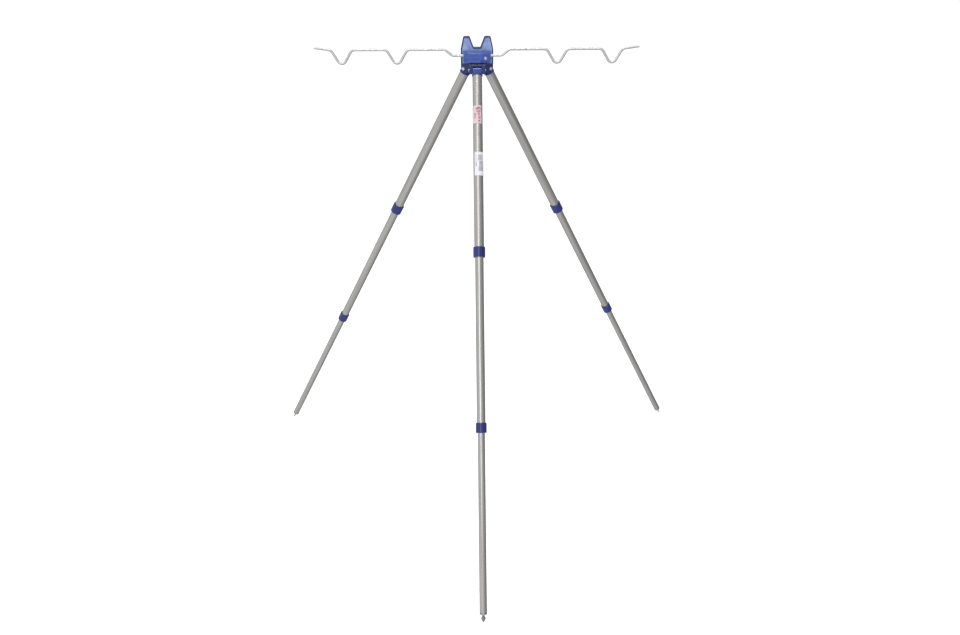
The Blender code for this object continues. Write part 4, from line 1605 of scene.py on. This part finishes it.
@dataclass
class Studio:
    """Plain pale floor, soft lights and the camera."""

    axis: Vector
    lens: float = 38.37
    distance: float = 2.3708
    aside: float = -0.0326
    height: float = 1.4254
    pitch: float = 22.586
    heading: float = -0.903
    roll: float = -0.1987
    floor_glow: float = 0.62

    def floor(self) -> None:
        """Lay the pale floor."""
        select_nothing()
        bpy.ops.mesh.primitive_plane_add(size=80.0, location=(0, 0, 0))
        ground = bpy.context.object
        ground.name = "pale_floor"
        recipe = Recipe("floor_paper")
        cloud = recipe.noise(recipe.place(), 0.8, 2.0)
        tint = recipe.blend(cloud, (0.93, 0.93, 0.93, 1), (0.96, 0.96, 0.96, 1))
        glow = recipe.blend(cloud, (0.97, 0.97, 0.97, 1), (1.0, 1.0, 1.0, 1))
        paper = recipe.settle(
            Base_Color=tint, Roughness=0.9, Emission_Color=glow, Emission_Strength=self.floor_glow
        )
        dress(ground, paper)
        ground.visible_glossy = False
        ground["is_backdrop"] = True

    def sky(self) -> None:
        """Surround the object with soft light, brighter in front than behind."""
        world = bpy.data.worlds.new("soft_room")
        bpy.context.scene.world = world
        world.use_nodes = True
        tree = world.node_tree
        spot = tree.nodes.new("ShaderNodeTexCoord")
        parts = tree.nodes.new("ShaderNodeSeparateXYZ")
        tree.links.new(spot.outputs["Generated"], parts.inputs[0])
        lean = tree.nodes.new("ShaderNodeMath")
        lean.operation = "MULTIPLY_ADD"
        tree.links.new(parts.outputs["X"], lean.inputs[0])
        lean.inputs[1].default_value = 1.0
        tree.links.new(parts.outputs["Y"], lean.inputs[2])
        ramp = tree.nodes.new("ShaderNodeMapRange")
        tree.links.new(lean.outputs[0], ramp.inputs["Value"])
        ramp.inputs["From Min"].default_value = -1.0
        ramp.inputs["From Max"].default_value = 1.0
        ramp.inputs["To Min"].default_value = 0.85
        ramp.inputs["To Max"].default_value = 0.32
        back = tree.nodes["Background"]
        back.inputs["Color"].default_value = (0.97, 0.98, 1.0, 1.0)
        tree.links.new(ramp.outputs["Result"], back.inputs["Strength"])

    def lamp(self, name: str, spot: Point3, size: Point, power: float) -> None:
        """Hang a soft box that faces the head.

        Args:
            name: Its name.
            spot: Where it hangs.
            size: Its width and height.
            power: Its power in watts.
        """
        select_nothing()
        bpy.ops.object.light_add(type="AREA", location=spot)
        light = bpy.context.object
        light.name = name
        light.data.shape = "RECTANGLE"
        light.data.size = size[0]
        light.data.size_y = size[1]
        light.data.energy = power
        aim = Vector((self.axis.x, self.axis.y, 0.6)) - light.location
        light.rotation_euler = aim.to_track_quat("-Z", "Y").to_euler()

    def camera(self) -> None:
        """Set up the camera."""
        select_nothing()
        bpy.ops.object.camera_add()
        camera = bpy.context.object
        camera.name = "studio_camera"
        camera.data.lens = self.lens
        camera.data.sensor_width = 36.0
        camera.data.clip_end = 200.0
        spot = Matrix.Translation((self.axis.x + self.aside, self.axis.y - self.distance, self.height))
        turned = Matrix.Rotation(math.radians(self.heading), 4, "Z")
        tipped = Matrix.Rotation(math.radians(90.0 - self.pitch), 4, "X")
        rolled = Matrix.Rotation(math.radians(self.roll), 4, "Z")
        camera.matrix_world = spot @ turned @ tipped @ rolled
        bpy.context.scene.camera = camera

    def build(self) -> None:
        """Set up the floor, the lights and the camera."""
        self.floor()
        self.sky()
        self.lamp("key_box", (-0.9, -3.2, 2.9), (2.0, 2.4), 18.0)
        self.lamp("top_box", (0.2, 0.7, 3.6), (3.0, 2.4), 8.0)
        self.lamp("brow_box", (-0.25, -0.9, 3.6), (1.3, 0.8), 44.0)
        self.camera()
        bpy.context.scene.view_settings.view_transform = "Standard"


# ---------------------------------------------------------------- assembly


def leg_frames(joints: Sequence[dict]) -> dict[Side, Matrix]:
    """Each leg's own frame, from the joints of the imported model.

    Args:
        joints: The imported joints.

    Returns:
        A matrix for each leg, from its own frame to the row's.
    """
    by_name = {joint["name"]: joint for joint in joints}
    frames = {}
    for side in Side:
        fold = by_name[f"{side.value}_leg_fold"]
        along = Vector(fold["axis"]).normalized()
        up = Vector(by_name[f"{side.value}_middle_slide"]["axis"]).normalized()
        out = along.cross(up)
        turned = Matrix((out, along, up)).transposed().to_4x4()
        frames[side] = Matrix.Translation(Vector(fold["pos_m"])) @ turned
    return frames


def shared_parts(nodes: dict[str, Shape], leg: TelescopicLeg) -> dict[str, Shape]:
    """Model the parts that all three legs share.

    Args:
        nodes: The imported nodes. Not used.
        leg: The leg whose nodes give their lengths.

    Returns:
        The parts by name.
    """
    parts, foot = LegParts(), Foot()
    radii = {
        Stage.UPPER: parts.upper_radius,
        Stage.MIDDLE: parts.middle_radius,
        Stage.LOWER: parts.lower_radius,
    }
    store = {"cap": parts.cap("cap_pattern"), "pin": parts.pin("pin_pattern")}
    for stage, radius in radii.items():
        top, bottom = leg.span(f"{stage.value}_tube")
        store[f"{stage.value}_tube"] = parts.tube(f"{stage.value}_pattern", radius, bottom - top)
    pairs = ((Stage.UPPER, Stage.MIDDLE, Stage.UPPER), (Stage.LOWER, Stage.LOWER, Stage.MIDDLE))
    for stage, inner, outer in pairs:
        top, bottom = leg.span(f"{stage.value}_collar")
        name = f"{stage.value}_collar"
        store[name] = parts.collar(f"{name}_pattern", radii[outer], radii[inner], bottom - top)
    store["bung"] = foot.bung("bung_pattern")
    store["spike"] = foot.spike("spike_pattern")
    return store


def corners() -> list[list[float]]:
    """The shown object's lowest and highest corners as plain lists."""
    return [list(corner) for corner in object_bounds()]


def main() -> None:
    """Load the frame and build every sub-assembly round it."""
    logging.basicConfig(level=logging.INFO, format="%(message)s")
    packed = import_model()
    frames = leg_frames(packed["joints"])
    hub = sum((frame.to_translation() for frame in frames.values()), Vector()) / len(frames)
    finishes = Finishes(frames)
    finishes.make()
    ForkHead(hub, frames).build(finishes)
    PivotCover(hub).build(finishes)
    WireArms(hub).build(finishes)
    dress(packed["nodes"]["left_arm_pivot_pin"], finishes.plain["bright_rivet"])
    legs = [TelescopicLeg(side, frames[side], packed["nodes"]) for side in Side]
    store = shared_parts(packed["nodes"], legs[0])
    for leg in legs:
        leg.build(store, finishes)
    for part in store.values():
        bpy.data.objects.remove(part)
    Stickers(frames[Side.FRONT]).build()
    Studio(Vector((hub.x, hub.y, 0.0))).build()


if __name__ == "__main__":
    main()
